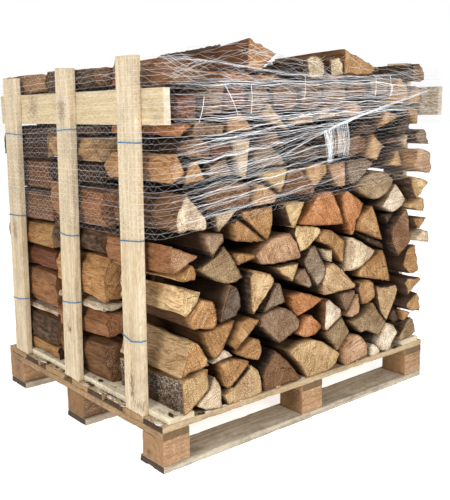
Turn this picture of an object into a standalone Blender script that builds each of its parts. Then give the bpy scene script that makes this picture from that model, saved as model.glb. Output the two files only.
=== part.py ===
"""Pallet of split firewood: a block pallet with three posts and a rail on each short side, three rows of
split logs laid front to back, blue twine ties round the posts and a white net wrapped round the upper half.

Metres, +Z up. The origin is on the floor under the pallet's centre. X runs along the pallet's long side,
and the front, where the log ends show, faces -Y. Places are first given from the pallet's left front
bottom corner, as they would be measured on the real thing, and CORNER moves them to the origin.
"""

from collections import defaultdict
from itertools import combinations
from math import asin
from random import Random

import bmesh
import bpy
from mathutils import Vector
from mathutils.geometry import delaunay_2d_cdt, intersect_line_line_2d

# Pallet
PALLET_LENGTH = 1.200
PALLET_WIDTH = 1.000
GAP = 0.0003
BOTTOM_BOARD = 0.022
BLOCK_TOP = 0.100
STRINGER_TOP = 0.122
DECK_TOP = 0.142
BLOCKS_ALONG = ((0.0, 0.095), (0.560, 0.655), (1.105, 1.200))
BLOCKS_ACROSS = ((0.0, 0.105), (0.450, 0.555), (0.895, 1.000))
BOTTOM_BOARDS = ((0.0, 0.120), (0.440, 0.560), (0.880, 1.000))
DECK_BOARDS = (
    (0.0, 0.097), (0.101, 0.197), (0.205, 0.300), (0.325, 0.412),
    (0.421, 0.517), (0.582, 0.707), (0.760, 0.855), (0.870, 1.000),
)

# Frame round the stack
POST_THICK = 0.022
POSTS = (  # name, near edge, far edge, top, how far the top leans to the front
    ("front", 0.098, 0.190, 1.161, 0.020),
    ("middle", 0.474, 0.563, 1.145, 0.045),
    ("back", 0.849, 0.940, 1.130, 0.040),
)
BOTTOM_RAIL_WIDTH = 0.093
BOTTOM_RAIL_TOP = 0.161
BOTTOM_RAIL_END = 0.985
TOP_RAIL = (0.977, 1.074)
TOP_RAIL_THICK = 0.022
TOP_RAIL_STARTS = (-0.021, -0.068)
TOP_RAIL_END = 0.977

# Twine ties: post, height at the near edge, at the middle and at the far edge of the post
TWINE = 0.0028
TIES = (
    ("front", "low", 0.370, 0.360, 0.373),
    ("front", "middle", 0.660, 0.656, 0.652),
    ("front", "high", 0.930, 0.930, 0.930),
    ("middle", "low", 0.413, 0.405, 0.402),
    ("middle", "middle", 0.632, 0.628, 0.633),
    ("middle", "high", 0.962, 0.961, 0.956),
    ("back", "low", 0.355, 0.346, 0.345),
    ("back", "middle", 0.658, 0.656, 0.655),
    ("back", "high", 0.941, 0.943, 0.943),
)

# Rows of logs: where each starts and ends behind the pallet's front edge
FRONT_ROW = (0.0, 0.3220)
MIDDLE_ROW = (0.3275, 0.6550)
BACK_ROW = (0.6610, 0.9900)
GAP_DEPTH = 0.035
LOG_GAP = 0.0015
REST_REACH = 0.008
SHORT_SIDE = 0.002
OUTER_REACH = 0.045
PROUD_SPREAD = 0.004
SIDE_LOG_X = (0.026, 1.174)

# Log ends are drawn as they look from one viewpoint, on the plane of the pallet's front edge, in
# centimetres from the left front bottom corner. An end that stands proud is drawn back along its
# sight line, so that its real place is a little nearer the left.
VIEWPOINT = Vector((-1.129, -1.620, 1.024))
CM = 0.01

# Each log of the front row: how far its end stands proud in mm, and its outline
FRONT_LOGS = (
    (10, [(6.6, 26.2), (7.4, 16.2), (9, 16.2), (13, 18), (17.2, 21), (16.8, 27.4)]),
    (4, [(12.3, 17.1), (15.5, 15), (21.8, 14.8), (21.8, 20.5), (19.3, 24.6), (17.6, 21)]),
    (2, [(21.3, 27.9), (27, 28.2), (32.9, 26.1), (32.5, 24.6), (26, 19.6), (23.8, 19.6), (22.2, 22.5)]),
    (6, [(22.4, 17.4), (24, 14.6), (38.9, 14.6), (38.5, 18.5), (37, 22.2), (34, 24.4), (27, 19.6)]),
    (8, [(6.7, 26.4), (18, 28.1), (17.5, 31), (16.3, 34.6), (13.5, 37.4), (11, 38.3), (9, 33)]),
    (3, [(15.9, 38.4), (28.3, 39.6), (27, 37), (22.3, 30.4), (19.8, 29.4), (17.8, 32)]),
    (0, [(18.4, 28.4), (27, 28.8), (25.8, 30.2), (23.4, 31.8), (20, 29.3)]),
    (5, [(26.1, 32.5), (28.2, 30.6), (34, 34.4), (38, 37.8), (33.2, 39.6), (29.8, 38.6)]),
    (2, [(27.6, 29.2), (35, 32.8), (37.2, 32), (38.6, 29.5), (38.6, 26.6), (37.3, 25.2), (33.8, 26.2)]),
    (10, [(10.8, 43.9), (15.2, 48.2), (19.6, 47.1), (20.5, 44.5), (21.1, 40.2), (19.8, 38.8), (12, 40)]),
    (6, [(7.7, 44.9), (10, 44.1), (14, 47.4), (14.8, 50.6), (8.4, 53)]),
    (4, [(21.9, 40.2), (28, 41.2), (30.1, 43.6), (30, 47.2), (28.3, 50), (26.2, 51), (22.5, 43)]),
    (14, [(33.6, 41.6), (34.8, 40.1), (43.4, 48.2), (43.8, 49.6), (42.4, 51.8), (35.6, 53.8),
          (33.4, 52.4)]),
    (-4, [(39.2, 14.6), (38.9, 20), (40.4, 22.8), (44.2, 26.8), (50, 21.8), (56.6, 14.8)]),
    (5, [(50.5, 24.6), (56, 26.9), (61, 26.8), (66, 25), (74.3, 19.1), (72.5, 16), (68.5, 14.6),
         (59, 14.6), (56.5, 18.8)]),
    (2, [(38, 35.5), (38.6, 38.8), (43, 40.2), (48, 40), (52, 37.8), (55.2, 34.5), (55, 31.4),
         (46.4, 28.1)]),
    (4, [(51.6, 43.2), (56.5, 43.4), (66.8, 39.3), (60, 37.2), (54.2, 35.9), (51.3, 40)]),
    (3, [(54.7, 29.9), (57.8, 35), (60.5, 35), (64.9, 31), (64.8, 29.8), (62.3, 28.2), (57.4, 28)]),
    (14, [(66.8, 38.8), (68.8, 38.9), (75, 34.3), (75.5, 31.8), (68.2, 28), (66.9, 28.8)]),
    (0, [(67, 27.4), (70.8, 29.3), (75.4, 31.5), (79, 26), (77.6, 23), (72.8, 20.2), (71, 23)]),
    (6, [(75.6, 20.4), (78.6, 24.1), (81.5, 24.2), (85.5, 23), (89.5, 18.2), (89, 14.6),
         (78, 14.4), (76.2, 16)]),
    (3, [(65.8, 44.6), (67.9, 50), (70.8, 50.9), (74, 49), (82, 41.6), (81.4, 40.6), (66.5, 40.4)]),
    (-3, [(52.6, 48.6), (55.2, 51), (57.2, 51), (60.2, 47.5), (61.2, 44.4), (58.6, 44.5), (55.5, 46.2)]),
    (3, [(38.5, 40), (42, 45), (44.3, 48.2), (46.6, 48), (48.6, 41.5), (44, 41)]),
    (-2, [(74, 39.6), (82, 39.7), (81.5, 37), (77.6, 33.3), (76.2, 34.6)]),
    (4, [(83, 39.5), (83.8, 42.2), (88.8, 42.4), (91.5, 40.8), (92.6, 37), (92.2, 35.4),
         (88.5, 33.9), (85.2, 34.1)]),
    (2, [(76.5, 31.6), (79, 33), (81.8, 37), (83.4, 38.4), (84.4, 34), (84.2, 31), (80.5, 29.9)]),
    (0, [(80, 28.9), (88.4, 30.9), (91.4, 33.9), (95.2, 29), (99, 25.2), (95.2, 20.9),
         (88.6, 24.2), (84.9, 24)]),
    (8, [(94.4, 19), (98.3, 25), (103, 23.5), (105.8, 20), (102.8, 17.3), (101, 14.6),
         (96.8, 14.8), (94.4, 17.6)]),
    (5, [(92.6, 39.5), (97, 38.2), (104.2, 37.9), (105.6, 36.4), (105, 33.6), (101, 27.3),
         (99.4, 25.3), (95.2, 30)]),
    (4, [(83.8, 45), (85.5, 47), (96.5, 51.7), (98, 50.5), (100.6, 42), (100.8, 39.8), (95, 41.4),
         (84.3, 43.7)]),
    (14, [(107.3, 45), (110, 50.5), (113.5, 51.7), (115, 51), (117.5, 42), (117.6, 40.8),
          (111.7, 40.7), (107.6, 43.9)]),
    (14, [(108.6, 37.6), (110, 39.6), (113.5, 39.3), (118.2, 38.3), (119.4, 37), (115.6, 34.3),
          (111, 31)]),
    (8, [(109.6, 28.6), (110.8, 31), (116.6, 34.5), (117.9, 32.4), (118.7, 28), (118.7, 25.3),
         (114, 26.7)]),
    (2, [(107.4, 27.7), (110, 27.6), (113.3, 25.9), (111.4, 24.2), (108.8, 23.6)]),
    (3, [(105.8, 17.3), (108.4, 20.4), (111.4, 24), (113, 24.5), (115.4, 22.9), (117.2, 17.5),
         (112, 16.6), (107, 16.4)]),
    (-12, [(100.4, 26.2), (102.6, 29.4), (104.2, 28.4), (106, 24.4), (103, 23.8)]),
    (2, [(89.8, 17.8), (91.8, 18.6), (94.3, 17.3), (96.6, 15.7), (95, 14.6), (90.5, 14.7)]),
    (4, [(5.6, 56), (12, 59.8), (13.4, 58.2), (13.3, 54.4), (9, 54)]),
    (10, [(5.2, 56.6), (4.2, 60.5), (4.8, 65.4), (8, 64.4), (14, 61), (12.3, 59.9)]),
    (10, [(16.4, 67.3), (23.6, 66.3), (23.9, 64.2), (20, 59.5), (18.3, 61.2)]),
    (0, [(14, 57.4), (20.6, 60.2), (23.8, 62.9), (26.3, 60.6), (31, 52.4), (27, 51), (21.5, 52.2)]),
    (2, [(27, 60.2), (35, 59), (36.3, 58.5), (35.8, 57.3), (29.1, 56)]),
    (4, [(27.2, 68.8), (28.6, 70.2), (30.6, 69.3), (40.3, 62.2), (34, 62.5), (28.4, 63.4)]),
    (2, [(21, 71.9), (29.8, 73), (25, 68.6), (22.4, 66.6)]),
    (8, [(7.4, 68.1), (6.6, 73), (10.6, 79.4), (12.2, 77.6), (17.9, 71.4), (17.9, 68)]),
    (-4, [(18.2, 73.3), (18.6, 78.5), (22, 80.6), (31, 80.9), (34.6, 79.2), (34.9, 74.2), (29.8, 73.2)]),
    (5, [(37.2, 82.6), (49.3, 83.5), (48.6, 79.5), (46.8, 76.3), (40, 81)]),
    (2, [(36.4, 80), (39.6, 79.7), (46.2, 75.6), (44.4, 73.2), (35.2, 72.8)]),
    (3, [(31.2, 71.9), (43.6, 72.4), (43.8, 68.5), (43, 64.6), (41.2, 62.1), (31.6, 70)]),
    (14, [(47.6, 72.6), (53, 72.9), (56.9, 72.3), (56, 70.2), (52.4, 64.4), (50.5, 65.2), (48.6, 69.4)]),
    (6, [(54.2, 65.6), (60, 70.6), (62.5, 73.8), (66, 74.8), (69.6, 74.6), (74.6, 66.6),
         (75.3, 63.2), (62, 64.1)]),
    (0, [(49.8, 83.2), (55.8, 82.8), (62, 75.9), (60.8, 74.4), (47.2, 75.6), (49.2, 79)]),
    (2, [(57.2, 82.6), (60.2, 84), (66.8, 83.8), (67.2, 80.8), (62, 76.6), (59, 79.2)]),
    (4, [(67.6, 83.6), (75.5, 84), (76, 79.6), (75.8, 75.6), (72.6, 75.9), (69.4, 79.2)]),
    (2, [(76.4, 83.8), (86.8, 84), (90.2, 82.3), (82, 76.3), (78.4, 76.2)]),
    (3, [(74.2, 73.2), (77, 74.2), (87.6, 68), (84, 65.8), (81.4, 63.6), (81, 59.2), (79, 59.2),
         (75.2, 66.4)]),
    (4, [(52.3, 62.5), (53, 65.2), (61.8, 64), (64.2, 63), (64.4, 61.6), (58.6, 57), (55.2, 56.6)]),
    (6, [(36.4, 58.2), (43, 62.8), (50.6, 63.4), (54, 59.4), (55.8, 54.8), (45, 54.3), (38.6, 55)]),
    (12, [(43.4, 53.6), (54.2, 53.6), (53.4, 51), (51.6, 47.7), (47.4, 50.4)]),
    (-6, [(56.4, 53.4), (59.4, 57.2), (62.2, 57.7), (67, 50.2), (67.2, 47.2), (62.8, 44.1), (57, 51.6)]),
    (3, [(63.4, 60.4), (65.6, 62.4), (69.4, 62.2), (77, 57.4), (76.6, 50.1), (75.4, 50.2),
         (70.4, 56), (64.4, 58.6)]),
    (5, [(65.4, 56.4), (70.2, 55.6), (69.9, 51), (67.4, 53)]),
    (4, [(78.4, 58.4), (81.4, 58.1), (91.7, 52.2), (90.6, 50.4), (83.4, 46.6), (76.6, 47), (77.6, 52)]),
    (8, [(82, 60.6), (82.2, 62.8), (84.4, 65), (90.4, 67.9), (92.4, 65.4), (96.4, 55.2), (87.6, 58.8)]),
    (-22, [(82, 59.6), (92.4, 55.9), (96.2, 54.4), (96.4, 52), (87.8, 55.6)]),
    (18, [(100.8, 53.6), (101, 58.8), (107.4, 64.4), (110, 64.8), (111, 62), (111.6, 56.4),
          (113.8, 53.6), (104.6, 48.2)]),
    (-14, [(96.2, 64.3), (101, 64.6), (105.2, 62.6), (99.3, 58.7), (97.4, 61.2)]),
    (8, [(94.8, 67.2), (96.6, 69), (102.4, 74.7), (106.4, 71.2), (109, 68.2), (107, 65.9),
         (103.2, 64.4), (99.8, 64.5)]),
    (2, [(81.6, 75.6), (86, 78.4), (91, 79.8), (97, 79.2), (101.6, 76), (100.6, 71.4),
         (91.4, 69.5), (83.6, 72.8)]),
    (4, [(98, 80.6), (98.4, 84), (103, 86.8), (108.4, 86.2), (111, 83.6), (110.4, 80.2)]),
    (10, [(111.4, 80), (112, 84.8), (115.4, 86.2), (121.8, 84.2), (123.4, 78.2), (122.2, 76.2),
          (116, 77.7)]),
    (14, [(110.2, 78), (112, 78.4), (119.8, 76), (122.6, 74.6), (118.8, 70.8), (115.2, 67.5),
          (112.2, 71.4)]),
    (6, [(107.6, 66.2), (117.2, 69.8), (119, 68.8), (119.9, 66), (119.5, 63), (114, 63.8)]),
    (14, [(112.4, 61.6), (116.6, 61.6), (122, 60.6), (117, 56.8), (115, 57.6)]),
    (10, [(113.8, 53.8), (119.4, 57.3), (122.8, 56.4), (123.2, 53), (122.6, 51), (118.6, 51.7)]),
    (2, [(87, 85), (87.4, 88.6), (89.2, 91.2), (90.8, 91.3), (95.6, 87.6), (95.2, 84.6), (91.2, 82.8)]),
    (5, [(104.4, 90), (108.4, 91.4), (110.6, 90.4), (111.6, 88), (110.4, 86.4), (108, 86.8)]),
    (6, [(111.8, 91.6), (117, 94.8), (118.6, 93.8), (120.2, 91), (121.2, 87), (112.6, 88.2)]),
    (2, [(107.4, 100.4), (114.2, 100.2), (114.8, 94.6), (112.2, 93.4), (109.6, 95)]),
    (0, [(92.4, 93.8), (95.2, 100.4), (101.4, 100.2), (104, 97.2), (99.4, 91.6), (96.4, 91)]),
    (4, [(7, 108.4), (7.4, 114.6), (9.2, 116.6), (19, 113.4), (21, 111.4), (17, 110), (13.6, 108.4)]),
    (6, [(24.6, 111.4), (27, 112.4), (34.6, 111.8), (37.4, 108.9), (25.4, 108.9)]),
    (2, [(7.4, 98.6), (14.2, 98.4), (12.4, 96.6), (9.2, 94.4), (7.8, 95)]),
    (6, [(28.2, 92.6), (28.2, 88), (30.4, 82.6), (33.6, 81.8), (34.2, 86), (34, 93)]),
    (4, [(36, 84.4), (36.4, 88.4), (40, 91.6), (44, 91), (49.6, 84.6)]),
    (8, [(4.6, 86), (7.6, 90.2), (9.8, 88.4), (10.4, 84.4), (8.4, 81.4), (6.2, 81.8)]),
    (3, [(37.8, 109.4), (38.2, 111.4), (44.6, 111.6), (46.8, 110), (45, 109)]),
    (4, [(38, 97.8), (42, 102.4), (46.4, 102.4), (50.6, 99.4), (51.2, 94.2), (43, 96.4)]),
    (2, [(51.6, 96), (52, 98.6), (57, 100.2), (62, 99.4), (61.4, 96.4), (56, 95.4)]),
    (0, [(62.4, 96.2), (63, 99.8), (67, 101.4), (71.6, 99.8), (73.4, 97.6), (69.6, 95.8)]),
    (5, [(69.6, 86), (69.8, 92), (72.4, 94.2), (76.2, 93), (76.4, 86.2), (72, 85.2)]),
    (0, [(10.8, 81.6), (11.2, 86.4), (15.4, 88), (18.6, 86), (18.2, 82.4)]),
    (-5, [(18.8, 82.2), (19, 86.2), (24, 88), (27.8, 86.2), (27.6, 82.8), (23, 81.4)]),
    (0, [(10.6, 89.4), (10, 93.6), (15.6, 94.4), (19.2, 92), (18.8, 88.6)]),
    (-4, [(19.6, 89), (20, 92.6), (24.6, 94), (27.6, 92.6), (27.4, 88.6)]),
    (2, [(13, 95), (14.8, 98.2), (20, 99), (24.8, 97.6), (24.6, 95), (18, 94.6)]),
    (-2, [(25.2, 94.8), (25.6, 99), (30.6, 100.4), (35, 98.8), (36.4, 95.6)]),
    (3, [(8, 99.2), (7.6, 104.6), (11, 107.4), (15.6, 106), (16.4, 101), (14.6, 99)]),
    (-4, [(16.8, 99.6), (16.8, 104.6), (19.4, 108.4), (24.4, 109), (24.8, 103.6), (23.6, 100)]),
    (2, [(25.2, 100.6), (25.4, 106), (27.6, 108.4), (32.4, 107.8), (33, 102)]),
    (-3, [(33.4, 100.4), (33.6, 105.8), (37, 108.2), (41.6, 107.4), (42.6, 104), (37.6, 99)]),
    (-12, [(50.2, 84.8), (50.6, 89), (54.6, 91.4), (64.2, 88), (63.6, 85)]),
    (0, [(36, 92.4), (37.4, 95.2), (44.6, 95.4), (51.6, 90.8), (48.4, 89)]),
    (-12, [(52.2, 92), (52.6, 95), (58, 95.2), (64.4, 94.6), (65.6, 91.4)]),
    (-3, [(65.4, 86), (65.8, 91), (69, 91.8), (69.2, 86)]),
    (-5, [(77, 85.2), (77.2, 90.8), (81.6, 92.4), (86.6, 91), (86.8, 86.4)]),
    (3, [(43, 103), (43.6, 108.6), (48.6, 109.6), (53.6, 108.4), (54, 103.6), (50.8, 100.4)]),
    (0, [(54.6, 101), (54.8, 107.4), (60, 109.8), (64.6, 107.6), (65, 102.4), (61.8, 100.2)]),
    (-3, [(65.6, 102), (65.4, 107.8), (70.6, 110), (75.8, 108), (76, 103.6), (71.6, 100.8)]),
    (4, [(74, 98), (76.6, 102.8), (81.4, 103.4), (84, 100), (81, 97.4)]),
    (-5, [(76.8, 104), (76.6, 109), (81.6, 110.8), (86.2, 108.4), (86.6, 104.4)]),
    (-12, [(84.6, 100.4), (87, 104), (92.6, 104.2), (94.6, 101), (92, 97.4), (88, 96.6)]),
    (-12, [(78, 92.8), (78.4, 96), (84, 96.8), (92, 93.6), (89.4, 92)]),
    (0, [(96, 88), (96.6, 90.4), (100, 91.2), (105, 88), (102.6, 87.2)]),
    (-10, [(100.6, 92), (107, 96.4), (109.6, 94), (111, 92.2), (106, 91.6)]),
    (0, [(87.4, 105), (87.2, 110), (92.4, 111.4), (97.4, 109.6), (97.6, 104.6)]),
    (3, [(98.2, 102), (98.4, 108), (103.4, 110.4), (107.6, 108), (107.8, 103.6), (103, 101.4)]),
    (0, [(108.2, 101.2), (108.6, 106.6), (112, 108.6), (115, 107), (115, 102)]),
)

# Single logs lying on top of the front row, each its own piece, drawn in the same way
LOOSE_LOGS = (
    (14, [(33.6, 113.2), (34.6, 121.2), (45.5, 117), (43, 115.2), (38.4, 112), (35.5, 112.3)]),
    (12, [(57.4, 116), (60, 116.8), (64, 116.5), (66, 111.6), (64.6, 110.2), (58.2, 110.4)]),
    (10, [(67.8, 116), (72.6, 116.6), (74.2, 114.4), (74.4, 110.8), (71, 110.4), (68, 110.8)]),
    (12, [(75, 111.6), (74.8, 119.3), (80.4, 117.4), (91.6, 113.6), (89, 111.6), (81.6, 111.3)]),
    (10, [(110, 110), (110.6, 115), (114, 115.4), (117.4, 112.6), (117.2, 109.4), (113, 108.9)]),
)

# The logs that show on the left side of the other two rows: lowest and highest height, reach inwards, in cm
MIDDLE_SIDE = (
    (16.2, 29.4, 19), (30, 39.4, 17), (39.8, 42.6, 13), (43.2, 57.6, 20), (58.2, 66, 17), (66.6, 79.6, 19),
    (80.2, 86, 15), (86.4, 94, 18), (94.5, 97.4, 12), (97.8, 107.2, 17), (107.8, 114.6, 19),
)
BACK_SIDE = (
    (16.2, 21, 15), (21.4, 31, 19), (31.4, 34, 12), (34.6, 47.4, 20), (47.8, 55, 17), (55.6, 64.2, 19),
    (64.8, 75, 18), (75.6, 86, 19), (86.6, 97.2, 17), (97.8, 107.2, 16), (107.8, 114.4, 20),
)
SIDE_LOGS_REACH = 17.0

# The highest logs of the other two rows, where they really are, in cm
MIDDLE_TOP = (
    [(44, 111), (44.6, 119.6), (51.2, 122.4), (56, 119.1), (56.6, 111.4)],
    [(88, 109.6), (88.6, 115.4), (95, 116.8), (100.4, 114), (99.6, 109)],
)
BACK_TOP = (
    [(61, 109.8), (60.6, 114.6), (67, 117.4), (74.4, 114.2), (73.6, 109.6)],
    [(30, 109), (31.4, 113.8), (39, 115.6), (43.6, 112.2), (41.6, 109.4)],
)

# The net's inside, as loops of points round the stack, in cm: X, Y and height of each point
NET_THICK = 0.002
NET_LOW = (
    (-0.42, 19.2, 66.7), (-0.42, 7.6, 66.8), (1.0, 0.6, 67.2), (3.2, -2.5, 67.8), (40, -2.7, 71.5),
    (80, -3.4, 75), (104, -5.6, 77.3), (118.4, -5.6, 78), (120.42, 7.6, 78), (120.42, 55, 76),
    (120.42, 94.5, 73), (118, 100.8, 72), (60, 101.4, 70), (2.6, 101.2, 67), (-0.42, 94, 66.5),
    (-0.42, 55, 66.6),
)
NET_RAIL = (
    (-0.42, 19.2), (-0.42, 7.6), (1.8, -2.4), (2.7, -2.6), (40, -4.1),
    (80, -5.8), (115.2, -7.3), (118.3, -7.2), (120.42, 7.6), (120.42, 55),
    (120.42, 94.5), (118, 100.8), (60, 101.4), (2.6, 101.2), (-0.42, 94),
    (-0.42, 55),
)
NET_TOPS = (
    115.2, 115.4, 115.5, 115.4, 112.2, 110.6, 113, 113.5, 114, 113, 112, 112, 111, 111.5, 112.3, 114,
)
NET_UNDER_RAIL = 97.2
NET_OVER_RAIL = 107.9
NET_MIDDLE = 87.0

CORNER = Vector((-PALLET_LENGTH / 2, -PALLET_WIDTH / 2, 0.0))


def clear_scene():
    for obj in list(bpy.data.objects):
        bpy.data.objects.remove(obj, do_unlink=True)


def material(name, colour, roughness):
    made = bpy.data.materials.new(name)
    made.use_nodes = True
    shader = made.node_tree.nodes["Principled BSDF"]
    shader.inputs["Base Color"].default_value = (*colour, 1.0)
    shader.inputs["Roughness"].default_value = roughness
    shader.inputs["Metallic"].default_value = 0.0
    return made


def add(obj, finish):
    """Files the object under the collection of the whole pallet, with its material."""
    for held_in in list(obj.users_collection):
        held_in.objects.unlink(obj)
    parts.objects.link(obj)
    obj.data.materials.clear()
    obj.data.materials.append(finish)
    return obj


def mesh_object(name, shape, finish):
    bmesh.ops.recalc_face_normals(shape, faces=shape.faces[:])
    mesh = bpy.data.meshes.new(name)
    shape.to_mesh(mesh)
    shape.free()
    return add(bpy.data.objects.new(name, mesh), finish)


def timber(name, along, across, height, finish):
    """A sawn board or block between these limits, each a low and a high value from the corner."""
    low = CORNER + Vector((along[0], across[0], height[0]))
    high = CORNER + Vector((along[1], across[1], height[1]))
    bpy.ops.mesh.primitive_cube_add(size=1.0, location=(low + high) / 2, scale=high - low)
    piece = bpy.context.object
    piece.name = name
    return add(piece, finish)


def build_pallet(finish):
    for place, across in zip(("front", "middle", "back"), BOTTOM_BOARDS):
        timber(f"bottom_board_{place}", (0, PALLET_LENGTH), across, (0, BOTTOM_BOARD), finish)
    for side, along in zip(("left", "centre", "right"), BLOCKS_ALONG):
        for place, across in zip(("front", "middle", "back"), BLOCKS_ACROSS):
            timber(f"block_{side}_{place}", along, across, (BOTTOM_BOARD + GAP, BLOCK_TOP), finish)
        timber(f"stringer_{side}", along, (0, PALLET_WIDTH), (BLOCK_TOP + GAP, STRINGER_TOP), finish)
    for number, across in enumerate(DECK_BOARDS, start=1):
        timber(f"deck_board_{number}", (0, PALLET_LENGTH), across, (STRINGER_TOP + GAP, DECK_TOP), finish)


def mirrored(limits):
    return (PALLET_LENGTH - limits[1], PALLET_LENGTH - limits[0])


def build_frame(finish):
    """Bottom rails, leaning posts and top rails of both short sides."""
    inner = POST_THICK + GAP
    for side, start in zip(("left", "right"), TOP_RAIL_STARTS):
        place = mirrored if side == "right" else tuple
        lower = (inner, inner + BOTTOM_RAIL_WIDTH)
        upper = (inner, inner + TOP_RAIL_THICK)
        height = (DECK_TOP + GAP, BOTTOM_RAIL_TOP)
        timber(f"bottom_rail_{side}", place(lower), (0, BOTTOM_RAIL_END), height, finish)
        timber(f"top_rail_{side}", place(upper), (start, TOP_RAIL_END), TOP_RAIL, finish)
        for name, near, far, top, lean in POSTS:
            length = top - DECK_TOP - GAP
            post = timber(f"post_{side}_{name}", place((0, POST_THICK)), (near, far), (0, length), finish)
            turn = asin(lean / length)
            foot = turn * (far - near) / 2
            post.rotation_euler.x = turn
            post.location.y -= lean / 2
            post.location.z += DECK_TOP + GAP + foot


def post_edges(post, height):
    """Where the post's near and far edges are at this height."""
    _, near, far, top, lean = next(entry for entry in POSTS if entry[0] == post)
    shift = lean * (height - DECK_TOP) / (top - DECK_TOP)
    return near - shift, far - shift


def build_ties(finish):
    """Twine laid round the outside of each post, its ends going in between the logs."""
    clear = TWINE / 2 + GAP
    end = POST_THICK - TWINE
    for side in ("left", "right"):
        for post, place, near_height, middle_height, far_height in TIES:
            near, far = post_edges(post, middle_height)
            near -= clear + GAP
            far += clear + GAP
            route = (
                (end, near, near_height), (-clear, near, near_height),
                (-clear, (near + far) / 2, middle_height),
                (-clear, far, far_height), (end, far, far_height),
            )
            curve = bpy.data.curves.new(f"twine_tie_{side}_{post}_{place}", "CURVE")
            curve.dimensions = "3D"
            curve.bevel_depth = TWINE / 2
            curve.bevel_resolution = 1
            curve.use_fill_caps = True
            line = curve.splines.new("POLY")
            line.points.add(len(route) - 1)
            for point, (x, y, z) in zip(line.points, route):
                if side == "right":
                    x = PALLET_LENGTH - x
                point.co = (*(CORNER + Vector((x, y, z))), 1.0)
            add(bpy.data.objects.new(curve.name, curve), finish)


def centre(outline):
    return sum(outline, Vector((0.0, 0.0))) / len(outline)


def sides(outline):
    return list(zip(outline, outline[1:] + outline[:1]))


def signed_area(outline):
    return sum(start.cross(end) for start, end in sides(outline)) / 2


def tidy_outline(outline):
    """Anticlockwise, with no side too short to matter."""
    if signed_area(outline) < 0:
        outline = outline[::-1]
    return [start for start, end in sides(outline) if (end - start).length > SHORT_SIDE]


def clipped(outline, point, normal):
    """The part of the outline that lies behind the line through the point."""
    kept = []
    for start, end in sides(outline):
        first = (start - point).dot(normal)
        second = (end - point).dot(normal)
        if first <= 0:
            kept.append(start)
        if first * second < 0:
            kept.append(start.lerp(end, first / (first - second)))
    return kept


def part_overlaps(outlines):
    """Where two log ends overlap, both are cut back to the line between the points where they cross."""
    for one, other in combinations(range(len(outlines)), 2):
        hits = []
        for a, b in sides(outlines[one]):
            for c, d in sides(outlines[other]):
                hit = intersect_line_line_2d(a, b, c, d)
                if hit:
                    hits.append(hit)
        if len(hits) < 2:
            continue
        start, end = max(combinations(hits, 2), key=lambda pair: (pair[0] - pair[1]).length)
        if (end - start).length < SHORT_SIDE:
            continue
        normal = (end - start).orthogonal().normalized()
        if normal.dot(centre(outlines[other]) - centre(outlines[one])) < 0:
            normal.negate()
        outlines[one] = clipped(outlines[one], start, normal)
        outlines[other] = clipped(outlines[other], start, -normal)


def inset(outline, distance):
    """The outline with each side moved inwards."""
    moved = []
    for before, here, after in zip(outline[-1:] + outline[:-1], outline, outline[1:] + outline[:1]):
        first = (here - before).orthogonal().normalized()
        second = (after - here).orthogonal().normalized()
        spread = max(0.4, 1 + first.dot(second))
        moved.append(here + (first + second) * distance / spread)
    return moved


def log_end(points, proud):
    """A log's outline in metres, drawn back along the sight lines to where its end really is."""
    share = 1 - proud / -VIEWPOINT.y
    outline = []
    for x, z in points:
        across = VIEWPOINT.x + (x * CM - VIEWPOINT.x) * share
        height = VIEWPOINT.z + (z * CM - VIEWPOINT.z) * share
        outline.append(Vector((across, height)))
    return outline


def rested(point, reach):
    """The point, brought down or up to what lies under it if it is below or within reach of that."""
    on_rail = min(point.x, PALLET_LENGTH - point.x) < POST_THICK + BOTTOM_RAIL_WIDTH + 2 * LOG_GAP
    floor = (BOTTOM_RAIL_TOP if on_rail else DECK_TOP) + GAP
    return Vector((point.x, floor)) if point.y < floor + reach else point


def kept_between_sides(outline):
    """The outline held between the posts, inside the top rails and above the deck and the bottom rails."""
    low, high = SIDE_LOG_X
    rail_inner = POST_THICK + TOP_RAIL_THICK + 2 * GAP + LOG_GAP
    held = []
    for point in outline:
        point = rested(point, REST_REACH)
        point = Vector((min(max(point.x, low), high), point.y))
        if TOP_RAIL[0] - LOG_GAP < point.y < TOP_RAIL[1] + LOG_GAP:
            point.x = min(max(point.x, rail_inner), PALLET_LENGTH - rail_inner)
        held.append(point)
    return held


def proud_enough(points, proud):
    """How far an end at the right edge stands proud, so that its log stays inside the posts."""
    reach = max(x for x, _ in points) * CM
    needed = (reach - SIDE_LOG_X[1]) / (reach - VIEWPOINT.x) * -VIEWPOINT.y
    return max(proud, needed)


def front_outlines(random):
    """Outline and proudness of each log of the front row."""
    logs = []
    for proud, points in FRONT_LOGS:
        stands = proud_enough(points, proud * 0.001 + random.uniform(-PROUD_SPREAD, PROUD_SPREAD))
        logs.append((log_end(points, stands), stands))
    return logs


def side_outlines(courses, random):
    """Logs against the left posts, from their lowest and highest height and their reach inwards."""
    logs = []
    for low, high, reach in courses:
        start = SIDE_LOG_X[0] / CM + random.uniform(0.0, 1.2)
        middle = (low + high) / 2 + random.uniform(-0.6, 0.6)
        points = [
            (start, low), (reach * 0.75, low), (reach, middle),
            (reach * 0.7, high), (start + 0.4, high - 0.5),
        ]
        logs.append(([Vector((x * CM, z * CM)) for x, z in points], random.uniform(0.004, 0.016)))
    return logs


def other_row(front, courses, tops, random):
    """The front row turned about, with its own logs against the left posts and on top."""
    logs = side_outlines(courses, random)
    logs += [([Vector(point) * CM for point in outline], 0.0) for outline in tops]
    for outline, _ in front:
        turned = [Vector((PALLET_LENGTH - point.x, point.y)) for point in outline]
        if centre(turned).x > SIDE_LOGS_REACH * CM:
            logs.append((turned, random.uniform(-0.012, 0.010)))
    return logs


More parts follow.
